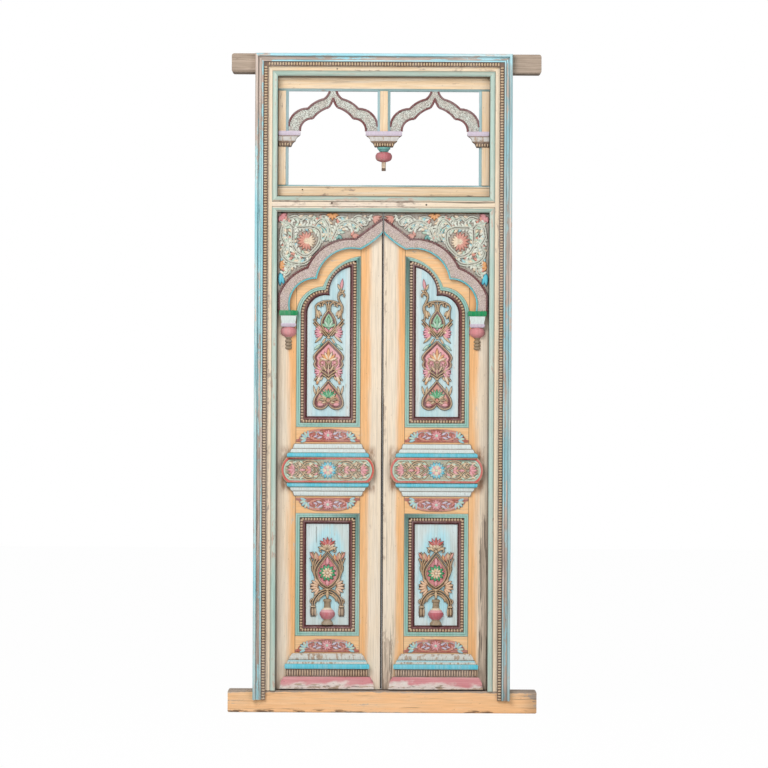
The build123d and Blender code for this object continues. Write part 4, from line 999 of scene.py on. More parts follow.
strip_middle, head_middle = (STRIP_IN + STRIP_OUT) / 2, (STRIP_HEAD + HEAD_STRIP) / 2
roll = (ROLL_PITCH, ROLL_LONG / 2, ROLL_WIDE / 2, STRIP_FRONT, ROLL_PROUD, "roll")

upright = Carving()
lath = [(STRIP_IN, STRIP_FOOT), (STRIP_OUT, STRIP_FOOT), (STRIP_OUT, HEAD_STRIP), (STRIP_IN, STRIP_HEAD)]
upright.board(lath, FRAME_FRONT, STRIP_FRONT, "channel")
upright.rolls([(strip_middle, STRIP_FOOT), (strip_middle, STRIP_HEAD)], *roll)
pair(upright, "bead_strip", "bead_brown", "frame", "frame")

across = Carving()
lath = [(-STRIP_IN, STRIP_HEAD), (STRIP_IN, STRIP_HEAD)]
lath += [(STRIP_OUT, HEAD_STRIP), (-STRIP_OUT, HEAD_STRIP)]
across.board(lath, FRAME_FRONT, STRIP_FRONT, "channel")
across.rolls([(-STRIP_IN, head_middle), (STRIP_IN, head_middle)], *roll)
across.finish("bead_strip_head", "frame", "bead_brown")
print("head strip", counts["bead_strip_head"], "triangles")

# %% [markdown]
# ## The arched light
# Four fretted half arches spring from capitals and meet under the top rail. A half arch is a flat
# board with a cusped outline and a raised maroon edge. Capitals are stepped blocks, made by running a
# section up through a few levels, and the pendant is turned, so it is spun from its profile.

# %% Half arches
LIGHT_SPAN, LIGHT_MIDDLE = 162.25, 185.75
SPRING, ARCH_RISE = 2120.0, 147.0
ARCH_FACE, ARCH_EDGE = 7.0, 4.6
light_inner = [(0.742, 0.0), (0.675, 0.22), (0.458, 0.317), (0.33, 0.465), (0.10, 0.595)]
light_inner += [(0.04, 0.70), (0.0, 0.83)]
light_outer = [(0.079, 1.0), (0.125, 0.885), (0.207, 0.80), (0.40, 0.715), (0.566, 0.563)]
light_outer += [(0.85, 0.455), (1.0, 0.12)]


def light_place(point):
    """A place on the right outer half arch, from its shares of the span and the rise."""
    return (LIGHT_MIDDLE + point[0] * LIGHT_SPAN, SPRING + point[1] * ARCH_RISE)


inner = lobes([light_place(point) for point in light_inner], 8)
outer = lobes([light_place(point) for point in light_outer], 8)
half_arch = Carving()
outline = chain(inner) + [light_place((0, 1))] + chain(outer) + [light_place((1, 0))]
half_arch.board(outline, ARCH_FACE, -ARCH_FACE, "arch_mint")
half_arch.lines(inner + outer, ARCH_EDGE, 0.4 - ARCH_FACE, ARCH_EDGE, "maroon", smooth=False, tip=1.0)
copies = {"right_inner": half_arch.flipped(LIGHT_MIDDLE), "left_outer": half_arch.flipped()}
copies["left_inner"] = copies["left_outer"].flipped(-LIGHT_MIDDLE)
copies["right_outer"] = half_arch
for place, carving in copies.items():
    carving.finish("light_arch_" + place, "frame", "mint_paint")
print("half arch", counts["light_arch_right_outer"], "triangles")

# %% Capitals and pendant
BACK_OF_LIGHT, BEAD_LEVEL = 18.0, 2071.0


def capital(x0, x1, left, right):
    """Slab, bell and bead row. left and right are 1 where that side steps in."""
    # The thin dark steps under the slab and the bell are painted shadow lines.
    steps = [
        (2120, 2, -31, "lavender"),
        (2117, 0, -33, "lavender"),
        (2107, 0, -33, "lavender"),
        (2103, 4, -30, "stem"),
        (2100, 9, -28, "worn_chalk"),
        (2094, 15, -28, "worn_chalk"),
        (2084, 18, -27, "stem"),
        (2079, 24, -25, "stem"),
        (2077, 27, -24, "channel"),
        (2064, 33, -22, "channel"),
        (2063, 34, -21, "channel"),
    ]
    carving = Carving()
    rows = [(z, x0 + left * step, x1 - right * step, y) for z, step, y, name in steps]
    carving.moulded(rows, [step[3] for step in steps], BACK_OF_LIGHT, ground=-10, top=-33)
    beads = [(x0 + left * 30, BEAD_LEVEL), (x1 - right * 30, BEAD_LEVEL)]
    carving.rolls(beads, 9, 7.0, 3.6, -23, 4.0, "roll")
    return carving


capital(-66.5, 66.5, 1, 1).finish("pendant_capital", "frame", "white_blue_paint")
pair(capital(305, 384, 1, 0), "light_capital", "white_blue_paint", "frame", "frame")
pendant = Carving()
profile = [(0.0, 1976), (7.2, 1976), (8.0, 1979), (7.4, 1986), (8.0, 1996), (7.6, 2008), (16, 2010)]
profile += [(25, 2014), (29.5, 2021), (30.5, 2027.5), (29.5, 2034), (25, 2041), (14, 2045), (14, 2047)]
profile += [(17, 2047), (19, 2052), (24, 2056), (24, 2062), (0.0, 2063)]
bands = [(1990, "stem"), (2009, "cream"), (2046, "worn_berry"), (2063, "teal")]
pendant.turned(profile, 0, -7.5, bands)
pendant.finish("pendant_drop", "frame", "pink_paint")
print("pendant", counts["pendant_drop"], "triangles")

# %% [markdown]
# ## Mouldings round the panels
# Each panel has a moulding in three steps: an aqua band, a row of rolls on a dark channel, and a maroon
# slope down to the panel. A grid is bent round the opening, one column for each line of the section, so
# the corners and the cusped head are mitred by themselves. The rolls follow the middle of the channel.

# %% Panel mouldings
OPENING_TOP, OPENING_FOOT, HEAD_RISE, MOULDING = 1458.0, 1039.0, 207.0, 40.0
LOWER_FOOT, LOWER_TOP = 277.0, 726.0
PANEL_FRONT, GROOVE, GROOVE_MIDDLE = -4.0, -12.5, 0.555
head_outer = [(0.0, 1.0), (0.353, 0.836), (0.591, 0.462), (0.841, 0.355), (1.0, 0.0)]
head_inner = [(0.17, 0.80), (0.365, 0.69), (0.486, 0.30), (0.71, 0.245), (0.83, 0.0)]
# Share of the way across, and depth
section = [(0.0, -18.0), (0.035, -20.4), (0.06, -21.0), (0.19, -21.0), (0.21, -19.4), (0.23, -21.0)]
section += [(0.37, -21.0), (0.40, -19.5), (0.41, GROOVE), (0.70, GROOVE), (0.71, -16.5), (0.75, -17.5)]
section += [(0.79, -16.5), (0.90, -9.0), (1.0, -5.5), (1.0, PANEL_FRONT)]
section_paints = ["stem", "aqua", "aqua", "teal", "teal", "aqua", "teal"]
section_paints += ["groove"] * 3 + ["maroon"] * 6


def upper_ring(share):
    """The upper opening's line at a share of the way across its moulding."""
    width = HINGE_INNER - MEETING_INNER
    places = [mix(a, b, share) for a, b in zip(head_outer, head_inner)]
    points = [(MEETING_INNER + x * width, OPENING_TOP + z * HEAD_RISE) for x, z in places]
    (left, top), (right, spring) = points[0], points[-1]
    foot = OPENING_FOOT + MOULDING * share
    corners = [(right, spring), (right, foot), (left, foot), (left, top)]
    return lobes(points, 14) + [list(ends) for ends in zip(corners, corners[1:])]


def lower_ring(share):
    """The same for the lower opening."""
    inset = MOULDING * share
    x0, x1 = MEETING_INNER + inset, HINGE_INNER - inset
    z0, z1 = LOWER_FOOT + inset, LOWER_TOP - inset
    corners = [(x0, z1), (x1, z1), (x1, z0), (x0, z0), (x0, z1)]
    return [list(ends) for ends in zip(corners, corners[1:])]


for name, ring in (("upper_moulding", upper_ring), ("lower_moulding", lower_ring)):
    moulding = Carving()
    moulding.framed(
        lambda share: chain(ring(share)), section, section_paints, PANEL_FRONT, ground=-7.0, top=-19.0
    )
    for part in ring(GROOVE_MIDDLE):
        moulding.rolls(part, 10.2, 6.9, 4.5, GROOVE, 5.5, "bar")
    pair(moulding, name, "aqua_paint")

# %% [markdown]
# ## Carving on the upper panels
# The tall ornament is built as the carver drew it: raised lines in gold brown make a heart, a crossing,
# a second heart and an almond, and a sprig leans towards the meeting stile. Low grounds inside them
# are green, pink and salmon with maroon rims, and have a palmette in each. A line lists distances from
# the panel's middle and levels, and is mirrored to the other side.

# %% Lines of the upper carvings
upper_lines = [
    [(0, 1355), (27, 1328), (47, 1307), (53, 1294), (47, 1280)],
    [(47, 1280), (51, 1268), (42, 1255), (20, 1241), (0, 1226)],
    [(0, 1468), (14, 1449), (25, 1424), (22, 1406), (0, 1381)],
    [(0, 1209), (19, 1186), (42, 1158), (52, 1136), (50, 1117), (35, 1107), (16, 1109), (2, 1122)],
    [(55, 1434), (38, 1414), (20, 1394), (0, 1370)],
    [(55, 1421), (39, 1403), (24, 1388), (10, 1372)],
    [(46, 1430), (45, 1463), (47, 1479), (40, 1488), (30, 1485), (32, 1478)],
    [(5, 1460), (6, 1482), (13, 1493), (22, 1490), (23, 1482)],
    [(42, 1489), (24, 1497), (0, 1501)],
    [(20, 1254), (34, 1232), (51, 1209)],
    [(0, 1216), (14, 1227), (25, 1232)],
    [(2, 1266), (10, 1281), (21, 1286), (31, 1280), (32, 1271), (24, 1268)],
    [(1, 1130), (10, 1140), (25, 1147), (41, 1134)],
    [(24, 1146), (13, 1138), (17, 1131)],
]
sprig_lines = [
    [(48, 1456), (50, 1479), (42, 1495), (35, 1513), (37, 1527), (44, 1538), (46, 1548)],
    [(38, 1520), (48, 1529), (56, 1524), (55, 1515)],
]
almond = [(0, 1466), (14, 1447), (24, 1424), (21, 1407), (0, 1383)]
heart = [(0, 1352), (27, 1325), (46, 1305), (51, 1293), (45, 1280)]
heart += [(48, 1268), (40, 1256), (18, 1242), (0, 1228)]
low_heart = [(0, 1206), (19, 1183), (41, 1156), (50, 1136), (48, 1119)]
low_heart += [(34, 1109), (16, 1111), (0, 1122)]
print(len(upper_lines) + len(sprig_lines), "lines drawn")

# %% Places on a panel


def on_panel(point, side):
    """A place on the right leaf's panel. side is 1 towards the meeting stile, -1 towards the hinges."""
    return (COLUMN - side * point[0], point[1])


def drawn(lines, side=1):
    """Lines on one side of the panel."""
    return [[on_panel(point, side) for point in line] for line in lines]


def both_sides(half):
    """A closed outline from its half."""
    back = [point for point in half[::-1] if point[0]]
    return drawn([half], 1)[0] + drawn([back], -1)[0]


def shrunk(half, share):
    """The same half outline, smaller about its own middle."""
    middle = (half[0][1] + half[-1][1]) / 2
    return [(x * share, middle + (z - middle) * share) for x, z in half]


def leaf(carving, side, root, angle, length, width, name, proud, ground=PANEL_FRONT):
    """A petal on a panel. Its angle is counted up from straight out on its side."""
    out = 180 if side == 1 else 0
    carving.petal(on_panel(root, side), out - side * angle, length, width, ground, proud, name)


print("panel helpers ready")

# %% Leaves of the upper carvings
RELIEF, LOW = 12.0, 3.0
BASE = PANEL_FRONT - LOW
LOW_HEART, HEART = BASE - 1.0, BASE - 1.5
# Outline, share of it that is painted, front of that share, paint
upper_grounds = [
    (almond, 0.72, HEART, "green"),
    (heart, 0.84, HEART, "pink"),
    (low_heart, 0.8, LOW_HEART, "salmon"),
]
# Root, angle, length, width, paint, relief, and the ground where it isn't the panel
upper_leaves = [
    ((24, 1386), 0, 15, 12, "cream", 10),
    ((24, 1243), 0, 14, 11, "cream", 10),
    ((34, 1434), 76, 40, 13, "gold", 10),
    ((26, 1444), 66, 26, 9, "gold", 10),
    ((19, 1379), -46, 47, 11, "gold", 10),
    ((10, 1366), -58, 32, 9, "gold", 9),
    ((28, 1343), -42, 35, 11, "mint", 8),
    ((20, 1352), -62, 22, 8, "teal", 7),
    ((29, 1229), -66, 36, 14, "cream", 11),
    ((38, 1210), -74, 17, 10, "orange", 12),
    ((20, 1226), -60, 22, 9, "gold", 9),
    ((46, 1156), 76, 38, 9, "gold", 9),
    ((42, 1158), 104, 34, 9, "gold", 9),
    ((36, 1164), 122, 26, 8, "cream", 8),
    ((6, 1240), 62, 34, 9, "gold", 9, BASE),
    ((4, 1250), 76, 32, 8, "olive", 9, BASE),
    ((14, 1246), 44, 30, 8, "olive", 8, BASE),
    ((4, 1142), 34, 30, 10, "gold", 8, LOW_HEART),
    ((8, 1136), 12, 30, 10, "olive", 8, LOW_HEART),
    ((6, 1132), -14, 22, 9, "gold", 8, LOW_HEART),
]
# Level, first and last angle, count, length, width, ground, relief, paints in turn
upper_fans = [
    (1146, 30, 150, 7, 36, 9, LOW_HEART, 8, ["green", "emerald"]),
    (1282, 18, 162, 7, 38, 11, HEART, 8, ["cream", "orange"]),
    (1286, 90, 90, 1, 46, 13, HEART, 9, ["orange"]),
    (1402, 30, 150, 5, 34, 10, HEART, 6, ["green", "mint"]),
    (1404, 90, 90, 1, 44, 13, HEART, 7, ["green"]),
    (1385, 52, 128, 2, 26, 9, BASE, 7, ["pink"]),
]
spine = [[(0, 1466), (0, 1484), (0, 1500)], [(0, 1222), (0, 1245), (0, 1282)]]
print(len(upper_leaves), "leaves on each side")

# %% Upper carvings
upper = Carving()
for outline, share, front, name in upper_grounds:
    upper.board(both_sides(outline), PANEL_FRONT, BASE, "maroon")
    upper.board(both_sides(shrunk(outline, share)), PANEL_FRONT, front, name)
for side in (1, -1):
    upper.strands(drawn(upper_lines, side), 4.2, PANEL_FRONT, RELIEF, "ridge")
    for root in ((17, 1385), (17, 1243)):
        first, last = 90 + side * 42, 90 + side * 138
        upper.shell(on_panel(root, side), first, last, 6, 37, 10.5, PANEL_FRONT, 9, ["shell_pink"])
    for row in upper_leaves:
        leaf(upper, side, *row)
    upper.knob(on_panel((22, 1274), side), 8, BASE, 7, "pink", 6)
    upper.knob(on_panel((29, 1122), side), 13, LOW_HEART, 6, "pink", 7)
    for root in ((31, 1481), (22, 1484)):
        upper.knob(on_panel(root, side), 4, PANEL_FRONT, RELIEF, "gold")
upper.strands(drawn(sprig_lines), 4.4, PANEL_FRONT, RELIEF, "ridge")
upper.petal(on_panel((45, 1540), 1), 97, 44, 13, PANEL_FRONT, 11, "pink")
upper.petal(on_panel((42, 1540), 1), 68, 26, 10, PANEL_FRONT, 10, "gold")
upper.petal(on_panel((44, 1532), 1), 150, 18, 8, PANEL_FRONT, 8, "gold")
upper.lines(drawn(spine), 3.4, PANEL_FRONT, RELIEF, "gold")
for level, *row in upper_fans:
    upper.fan((COLUMN, level), *row)
for level in (1216, 1366):
    upper.knob((COLUMN, level), 8, PANEL_FRONT, RELIEF + 1, "gold", 5)
pair(upper, "upper_carving", "gold_carving")

# %% [markdown]
# ## Carving on the lower panels
# A pink vase carries an almond frame with a green flower, two drooping leaves with tassels, side fans
# and a leafy crown. It is made on the same bench, and stands a little prouder where the vase swells.

# %% Lower carvings
lower_lines = [
    [(0, 586), (24, 557), (42, 531), (47, 510), (42, 486), (30, 466), (0, 444)],
    [(0, 571), (19, 546), (34, 523), (38, 508), (33, 488), (22, 471), (0, 455)],
    [(38, 478), (50, 505), (54, 528), (49, 552), (48, 568), (56, 584)],
    [(53, 528), (57, 548), (63, 562)],
    [(46, 514), (47, 534), (39, 556), (37, 574)],
    [(0, 448), (24, 441), (42, 425), (54, 402), (55, 386)],
    [(4, 440), (22, 432), (37, 417), (46, 400), (47, 386)],
    [(3, 432), (18, 424), (30, 413), (33, 403)],
    [(54, 412), (61, 405), (58, 396)],
    [(4, 586), (14, 592), (25, 594), (28, 587), (21, 583)],
]
lower_almond = [(0, 569), (19, 545), (33, 523), (37, 508), (32, 488), (21, 471), (0, 457)]
rim = [(x * 1.25, 513 + (z - 513) * 1.16) for x, z in lower_almond]
# Root, angle, length, width, paint, relief
lower_leaves = [
    ((47, 500), 70, 36, 12, "olive", 8),
    ((49, 556), 62, 32, 12, "salmon", 10),
    ((46, 552), 96, 34, 12, "gold", 9),
    ((36, 548), 84, 34, 15, "salmon", 9),
    ((30, 552), 104, 26, 10, "orange", 9),
    ((12, 432), -40, 30, 8, "gold", 9),
    ((26, 426), -62, 28, 8, "gold", 9),
    ((36, 414), -70, 22, 7, "olive", 9),
]
for x, name in ((44, "gold"), (49, "stem"), (54, "gold"), (59, "stem")):
    lower_leaves.append(((x, 384), -90, 40, 8, name, 10))
crown, bloom = (COLUMN, 592), (COLUMN, 507)

lower = Carving()
lower.board(both_sides(rim), PANEL_FRONT, BASE + 1, "stem")
lower.board(both_sides(lower_almond), PANEL_FRONT, BASE, "rose")
for side in (1, -1):
    lower.strands(drawn(lower_lines, side), 3.7, PANEL_FRONT, RELIEF, "ridge")
    first, last = 90 + side * 36, 90 + side * 142
    lower.shell(on_panel((24, 457), side), first, last, 6, 42, 11.5, PANEL_FRONT, 11, ["shell"])
    for row in lower_leaves:
        leaf(lower, side, *row)
    lower.knob(on_panel((52, 384), side), 12, PANEL_FRONT, 12, "gold", 4)
lower.fan(crown, 14, 166, 7, 38, 13, PANEL_FRONT, 10, ["gold", "olive", "cream"])
lower.fan((COLUMN, 604), 36, 144, 5, 36, 11, PANEL_FRONT, 12, ["red", "rose"])
lower.shell(crown, 40, 140, 5, 25, 9, PANEL_FRONT, 13, ["gold", "cream"])
lower.fan(bloom, 15, 345, 12, 34, 12, BASE, 4, ["pink", "rose"])
lower.fan(bloom, 0, 360 - 360 / 11, 11, 33, 16, BASE, 8, ["emerald"])
lower.shell(bloom, 0, 360 - 360 / 9, 10, 22, 10, BASE - 3, 8, ["cream", "shell"])
lower.knob(bloom, 7, BASE - 4, 8, "cream")
lower.petal((COLUMN, 534), 90, 34, 15, BASE, 7, "pink")
lower.petal((COLUMN, 482), 270, 26, 14, BASE, 7, "pink")
lower.knob((COLUMN, 588), 6, PANEL_FRONT, RELIEF + 1, "gold")
lower.knob((COLUMN, 446), 8, PANEL_FRONT, RELIEF + 1, "gold", 5)
lower.petal((COLUMN, 410), 90, 40, 12, PANEL_FRONT, 12, "gold")
print("ornament over the vase", len(lower.bm.verts), "points")

# %% Vases
VASE_BASE = 318.0
# Radius and level of the profile, then where each paint ends
vase = [(0, 0), (21, 0), (22, 4), (20, 9), (14, 16), (15, 20), (24, 29), (28.5, 38), (27, 46)]
vase += [(20, 55), (13, 62), (12, 70), (12, 82), (15, 85), (15, 90), (12, 94), (0, 95)]
vase_paints = [(19, "olive"), (44, "berry"), (56, "pink"), (64, "cream"), (95, "olive")]
profile = [(radius, VASE_BASE + level) for radius, level in vase]
bands = [(VASE_BASE + level, name) for level, name in vase_paints]
lower.turned(profile, COLUMN, PANEL_FRONT, bands, 180)
pair(lower, "lower_carving", "gold_carving")

# %% [markdown]
# ## Middle band: cartouche and cornices
# The long boss across each leaf has a red rim, a mint line, brown foliage and a round blue flower. White
# and blue cornices step away from it above and below. Cornices are run like the capitals, with their ends
# returned, so that the steps show from the side too.

# %% Cartouches
BAND_LEVEL, LEAF_FRONT = 883.5, -18.0
BOSS_HALF, BOSS_HIGH, BOSS_BULGE = 171.0, 46.5, 22.0
FIELD_FRONT = -41.0


def boss_ring(inset):
    """The cartouche's outline, drawn in by an inset."""
    half, high = BOSS_HALF - inset, BOSS_HIGH - inset * 0.8
    straight = half - BOSS_BULGE
    top, foot = BAND_LEVEL + high, BAND_LEVEL - high
    right = arc((COLUMN + straight, top), (COLUMN + half, BAND_LEVEL), (COLUMN + straight, foot), 12)
    left = arc((COLUMN - straight, foot), (COLUMN - half, BAND_LEVEL), (COLUMN - straight, top), 12)
    return right + left + right[:1]


def boss_place(x, z, side):
    """A place on the cartouche, from its middle."""
    return (COLUMN + side * x, BAND_LEVEL + z)


boss = Carving()
# Inset from the outline, and depth
boss_section = [(0, LEAF_FRONT), (0, -38), (1.5, -42), (2.5, -42.5), (3, -44.5), (8.5, -45)]
boss_section += [(9.5, -43), (10, -42), (14, -43), (15.5, FIELD_FRONT)]
# The first paint, on the cartouche's side, is painted shade.
boss_paints = ["stem", "gold", "gold", "red", "red", "red", "channel", "mint", "mint"]
boss.framed(boss_ring, boss_section, boss_paints, LEAF_FRONT, ground=-34, top=-44)
boss.board(boss_ring(14)[:-1], LEAF_FRONT, FIELD_FRONT, "sage", 0.62)
print("rim of a cartouche", len(boss.bm.verts), "points")

# %% Foliage of the cartouches
boss_lines = [
    [(34, 0), (52, 22), (76, 27), (96, 8), (108, 0)],
    [(30, 14), (48, 32), (80, 33), (104, 16), (120, 6)],
    [(44, 0), (62, 12), (80, 14), (96, 0)],
    [(104, 0), (114, 20), (128, 28), (142, 22)],
    [(110, 4), (120, 14), (134, 16), (148, 8)],
    [(86, 32), (98, 24), (112, 26), (124, 32)],
    [(66, 0), (80, 6), (92, 20), (106, 30)],
    [(36, 22), (48, 12), (60, 20), (72, 20)],
]
# Place, lean and paint
boss_leaves = [
    ((36, 9), 42, "pink"),
    ((34, 20), 20, "mint"),
    ((54, 24), -30, "cream"),
    ((72, 20), 160, "mint"),
    ((88, 22), 40, "mint"),
    ((98, 12), 66, "cream"),
    ((112, 31), -18, "mint"),
    ((126, 22), 20, "cream"),
    ((138, 26), -40, "mint"),
]
for side in (1, -1):
    paths = [[boss_place(x, flip * z, side) for x, z in line] for line in boss_lines for flip in (1, -1)]
    # Painted shade: a wider dark line under each gold line.
    boss.lines(paths, 3.8, FIELD_FRONT, 1.4, "edge", tip=0.9)
    boss.lines(paths, 2.5, FIELD_FRONT, 4.0, "gold", tip=0.7)
    out = 0 if side == 1 else 180
    boss.fan(boss_place(120, 0, side), out - 60, out + 60, 5, 31, 11, FIELD_FRONT, 4.5, ["pink", "rose"])
    boss.fan(boss_place(60, 0, side), out - 42, out + 42, 3, 25, 11, FIELD_FRONT, 4, ["pink", "salmon"])
    boss.petal(boss_place(104, 0, side), out + 180, 24, 11, FIELD_FRONT, 4, "pink")
    for flip in (1, -1):
        for (x, z), lean, name in boss_leaves:
            root, angle = boss_place(x, flip * z, side), out + side * flip * lean
            boss.petal(root, angle, 21, 9, FIELD_FRONT, 4, name)
boss_middle = (COLUMN, BAND_LEVEL)
boss.fan(boss_middle, 0, 360 - 360 / 16, 16, 34, 14, FIELD_FRONT, 4.0, ["sky", "blue"])
boss.fan(boss_middle, 10, 370 - 360 / 12, 12, 23, 11, FIELD_FRONT - 1.5, 4.5, ["cream", "pink", "cream"])
boss.knob(boss_middle, 6, FIELD_FRONT - 3, 5, "mint")
pair(boss, "cartouche", "gold_carving")

# %% Cornices
# The dark steps, a thin line between blue and white and the last slope to the stile, and the dark ends
# are painted shade.
# Distance from the cartouche, half width, front and the paint that follows
cornice_steps = [
    (0.0, 149, -34, "channel"),
    (1.5, 151, -37, "blue"),
    (4, 152, -38, "blue"),
    (12, 151, -37.5, "blue"),
    (15, 147, -34, "teal"),
    (17, 143, -31, "stem"),
    (18, 140, -30.5, "white"),
    (25, 138, -31, "white"),
    (30, 134, -28, "channel"),
    (32, 131, -25, "white"),
    (34, 129, -26, "white"),
    (45, 126, -25.5, "white"),
    (48, 124, -23, "stem"),
    (50, 122, -20, "stem"),
]
for name, sign in (("cornice_upper", 1), ("cornice_lower", -1)):
    cornice = Carving()
    steps = [(BAND_LEVEL + sign * (BOSS_HIGH + start), *others) for start, *others in cornice_steps]
    if sign < 0:
        steps.reverse()
        steps = [(*low[:3], high[3]) for low, high in zip(steps, steps[1:] + steps[-1:])]
    cornice.stepped(steps, COLUMN, LEAF_FRONT, ground=-8, top=-21, end="stem")
    pair(cornice, name, "white_blue_paint")

# %% [markdown]
# ## Rails with their friezes
# The middle and bottom rails carry friezes cut in low relief: brick red scrolls on an orange rail, a pink
# rosette in the middle and light blue shells at the ends. The rail itself is a plain board, so it is
# modelled with its friezes as one piece.

# %% Lines of the friezes
LEAF_BACK = 22.0
FRIEZE_HIGH, FRIEZE_LOW = 52.0, 2.0
frieze_lines = [
    [(30, 12), (36, 30), (52, 41), (68, 34), (66, 20), (52, 17), (48, 26)],
    [(0, 48), (34, 46), (62, 41), (84, 28), (100, 12)],
    [(22, 38), (40, 45), (58, 43)],
    [(68, 12), (80, 14), (94, 9)],
    [(16, 12), (30, 9), (46, 10), (58, 14), (60, 24), (54, 32)],
]
frieze_curls = [
    [(22, 30), (32, 38), (42, 34), (42, 26), (34, 24)],
    [(24, 18), (34, 14), (44, 18)],
    [(50, 38), (62, 36), (72, 28), (70, 20)],
]
frieze_ground = [(0, 50), (36, 49), (64, 44), (88, 35), (104, 20), (107, 12), (116, 11), (116, 1), (0, 1)]
# Root, lean, length, width and paint
frieze_leaves = [
    ((17, 28), 26, 22, 10, "lavender"),
    ((20, 20), -12, 22, 9, "lavender"),
    ((19, 34), 44, 14, 7, "olive"),
    ((36, 34), 24, 18, 8, "sage"),
    ((38, 24), -18, 18, 8, "lavender"),
    ((28, 41), 4, 22, 6, "salmon"),
    ((54, 28), -26, 14, 8, "rose"),
    ((56, 36), 14, 16, 7, "sage"),
    ((46, 13), 2, 22, 7, "salmon"),
    ((62, 39), -28, 22, 7, "salmon"),
    ((62, 19), 10, 14, 7, "lavender"),
    ((26, 12), -4, 20, 6, "olive"),
]
print(len(frieze_leaves), "leaves on half a frieze")

# %% Rails


def frieze(carving, level, turned):
    """One frieze on a rail. A turned frieze hangs upside down."""

    def place(point, side):
        return (COLUMN + side * point[0], level + (FRIEZE_HIGH - point[1] if turned else point[1]))

    def placed(lines, side):
        return [[place(point, side) for point in line] for line in lines]

    sign = -1 if turned else 1
    base = LEAF_FRONT - FRIEZE_LOW
    right, left = placed([frieze_ground], 1)[0], placed([frieze_ground[-2:0:-1]], -1)[0]
    carving.board(right + left, LEAF_FRONT, base, "brick", 0.72)
    for side in (1, -1):
        out = 0 if side == 1 else 180
        up = out + sign * side * 36
        carving.lines(placed(frieze_lines, side), 3.0, base, 4.2, "salmon")
        carving.lines(placed(frieze_curls, side), 2.2, base, 4.4, "lavender")
        carving.lines(placed([[(0, 6), (58, 6), (115, 6)]], side), 3.2, base, 3.0, "brick", tip=1.0)
        carving.shell(place((72, 12), side), up - 58, up + 52, 5, 32, 11, base, 4.5, ["sky", "mint"])
        for point, lean, length, width, name in frieze_leaves:
            carving.petal(place(point, side), out + sign * side * lean, length, width, base, 4.0, name)
    carving.flower(place((0, 26), 1), 11, 22, 9, base, 4.5, ["rose", "pink"], "mint")


for name, z0, z1, friezes in (
    ("middle_rail", LOWER_TOP, OPENING_FOOT, [(984.0, False), (731.0, True)]),
    ("bottom_rail", 84.0, LOWER_FOOT, [(217.0, False)]),
):
    rail = Carving()
    corners = [(MEETING_INNER, z0), (HINGE_INNER, z0), (HINGE_INNER, z1), (MEETING_INNER, z1)]
    rail.board(corners, LEAF_BACK, LEAF_FRONT, "rail")
    for level, turned in friezes:
        frieze(rail, level, turned)
    pair(rail, name, "apricot_paint")

# %% [markdown]
# ## Plinths
# A moulded block stands across the foot of each leaf: a pink base worn white by feet and brooms, a row of
# brown reeds, a blue strip, and a white and blue cornice. The block is run through its levels, and the
# reeds are laid on it one by one.

# %% Plinths
REED_HALF, REED_LEVEL, REED_PITCH = 149.0, 144.5, 9.3
# Level, half width, front and the paint above
plinth_steps = [
    (86, 172, -46, "plinth"),
    (88, 172, -47, "plinth"),
    (112, 168, -46, "plinth"),
    (126, 159, -40, "plinth"),
    (130, 156, -39, "channel"),
    (131, 149, -37, "channel"),
    (158, 149, -37, "channel"),
    (159, 153, -42, "blue"),
    (162, 154, -44, "blue"),
    (173, 154, -44, "blue"),
    (176, 151, -42, "teal"),
    (177, 147, -34, "worn_white"),
    (184, 145, -32, "sky"),
    (190, 141, -29, "channel"),
    (192, 139.8, -30.2, "worn_white"),
    (195, 138, -32, "worn_white"),
    (204, 134, -31, "worn_white"),
    (210, 129, -27, "worn_white"),
    (214, 127, -24, "worn_white"),
]
plinth = Carving()
plinth.stepped(plinth_steps, COLUMN, LEAF_FRONT, ground=-8, top=-28)
reeds = [(COLUMN - REED_HALF, REED_LEVEL), (COLUMN + REED_HALF, REED_LEVEL)]
plinth.rolls(reeds, REED_PITCH, 15.0, 3.6, -37, 5.0, "reed")
pair(plinth, "plinth", "pink_paint")

# %% [markdown]
# ## Spandrels with the cusped arch
# Over each leaf lies a carved board: half of a cusped arch with a stippled mauve band, a maroon rope
# outside and a blue edge inside, and foliage in the corner. The arch band is a grid bent between its
# inner and outer line. The foliage is drawn as pairs of raised lines, as vines are carved, with leaves
# between.

# %% Arch band
ARCH_FOOT, ARCH_REACH, ARCH_HIGH = 1465.0, 338.0, 285.0
SPANDREL_TOP, SPANDREL_SIDE, MEETING_GAP = 1820.0, 384.0, 3.0
GROUND = -30.0
arch_inner = [(0.0, 1.0), (0.135, 0.860), (0.243, 0.782), (0.627, 0.634), (0.717, 0.406)]
arch_inner += [(0.930, 0.305), (1.0, 0.0)]
arch_outer = [(0.0, 1.18), (0.155, 1.05), (0.297, 0.918), (0.664, 0.792), (0.819, 0.555)]
arch_outer += [(1.02, 0.398), (1.124, 0.20)]
arch_inner = [(x * ARCH_REACH, ARCH_FOOT + z * ARCH_HIGH) for x, z in arch_inner]
arch_outer = [(x * ARCH_REACH, ARCH_FOOT + z * ARCH_HIGH) for x, z in arch_outer]
inner_line = chain(lobes(arch_inner, 12))
outer_line = chain(lobes(arch_outer[:5], 12) + lobes(arch_outer[4:], 9))
outer_line += [(outer_line[-1][0], ARCH_FOOT + level) for level in (38, 19, 0)]
inner_line = [(max(x, MEETING_GAP), z) for x, z in inner_line]
outer_line = [(max(x, MEETING_GAP), z) for x, z in outer_line]


def band_line(share):
    """The line at a share of the way across the arch's band."""
    return [mix(near, far, share) for near, far in zip(inner_line, outer_line)]


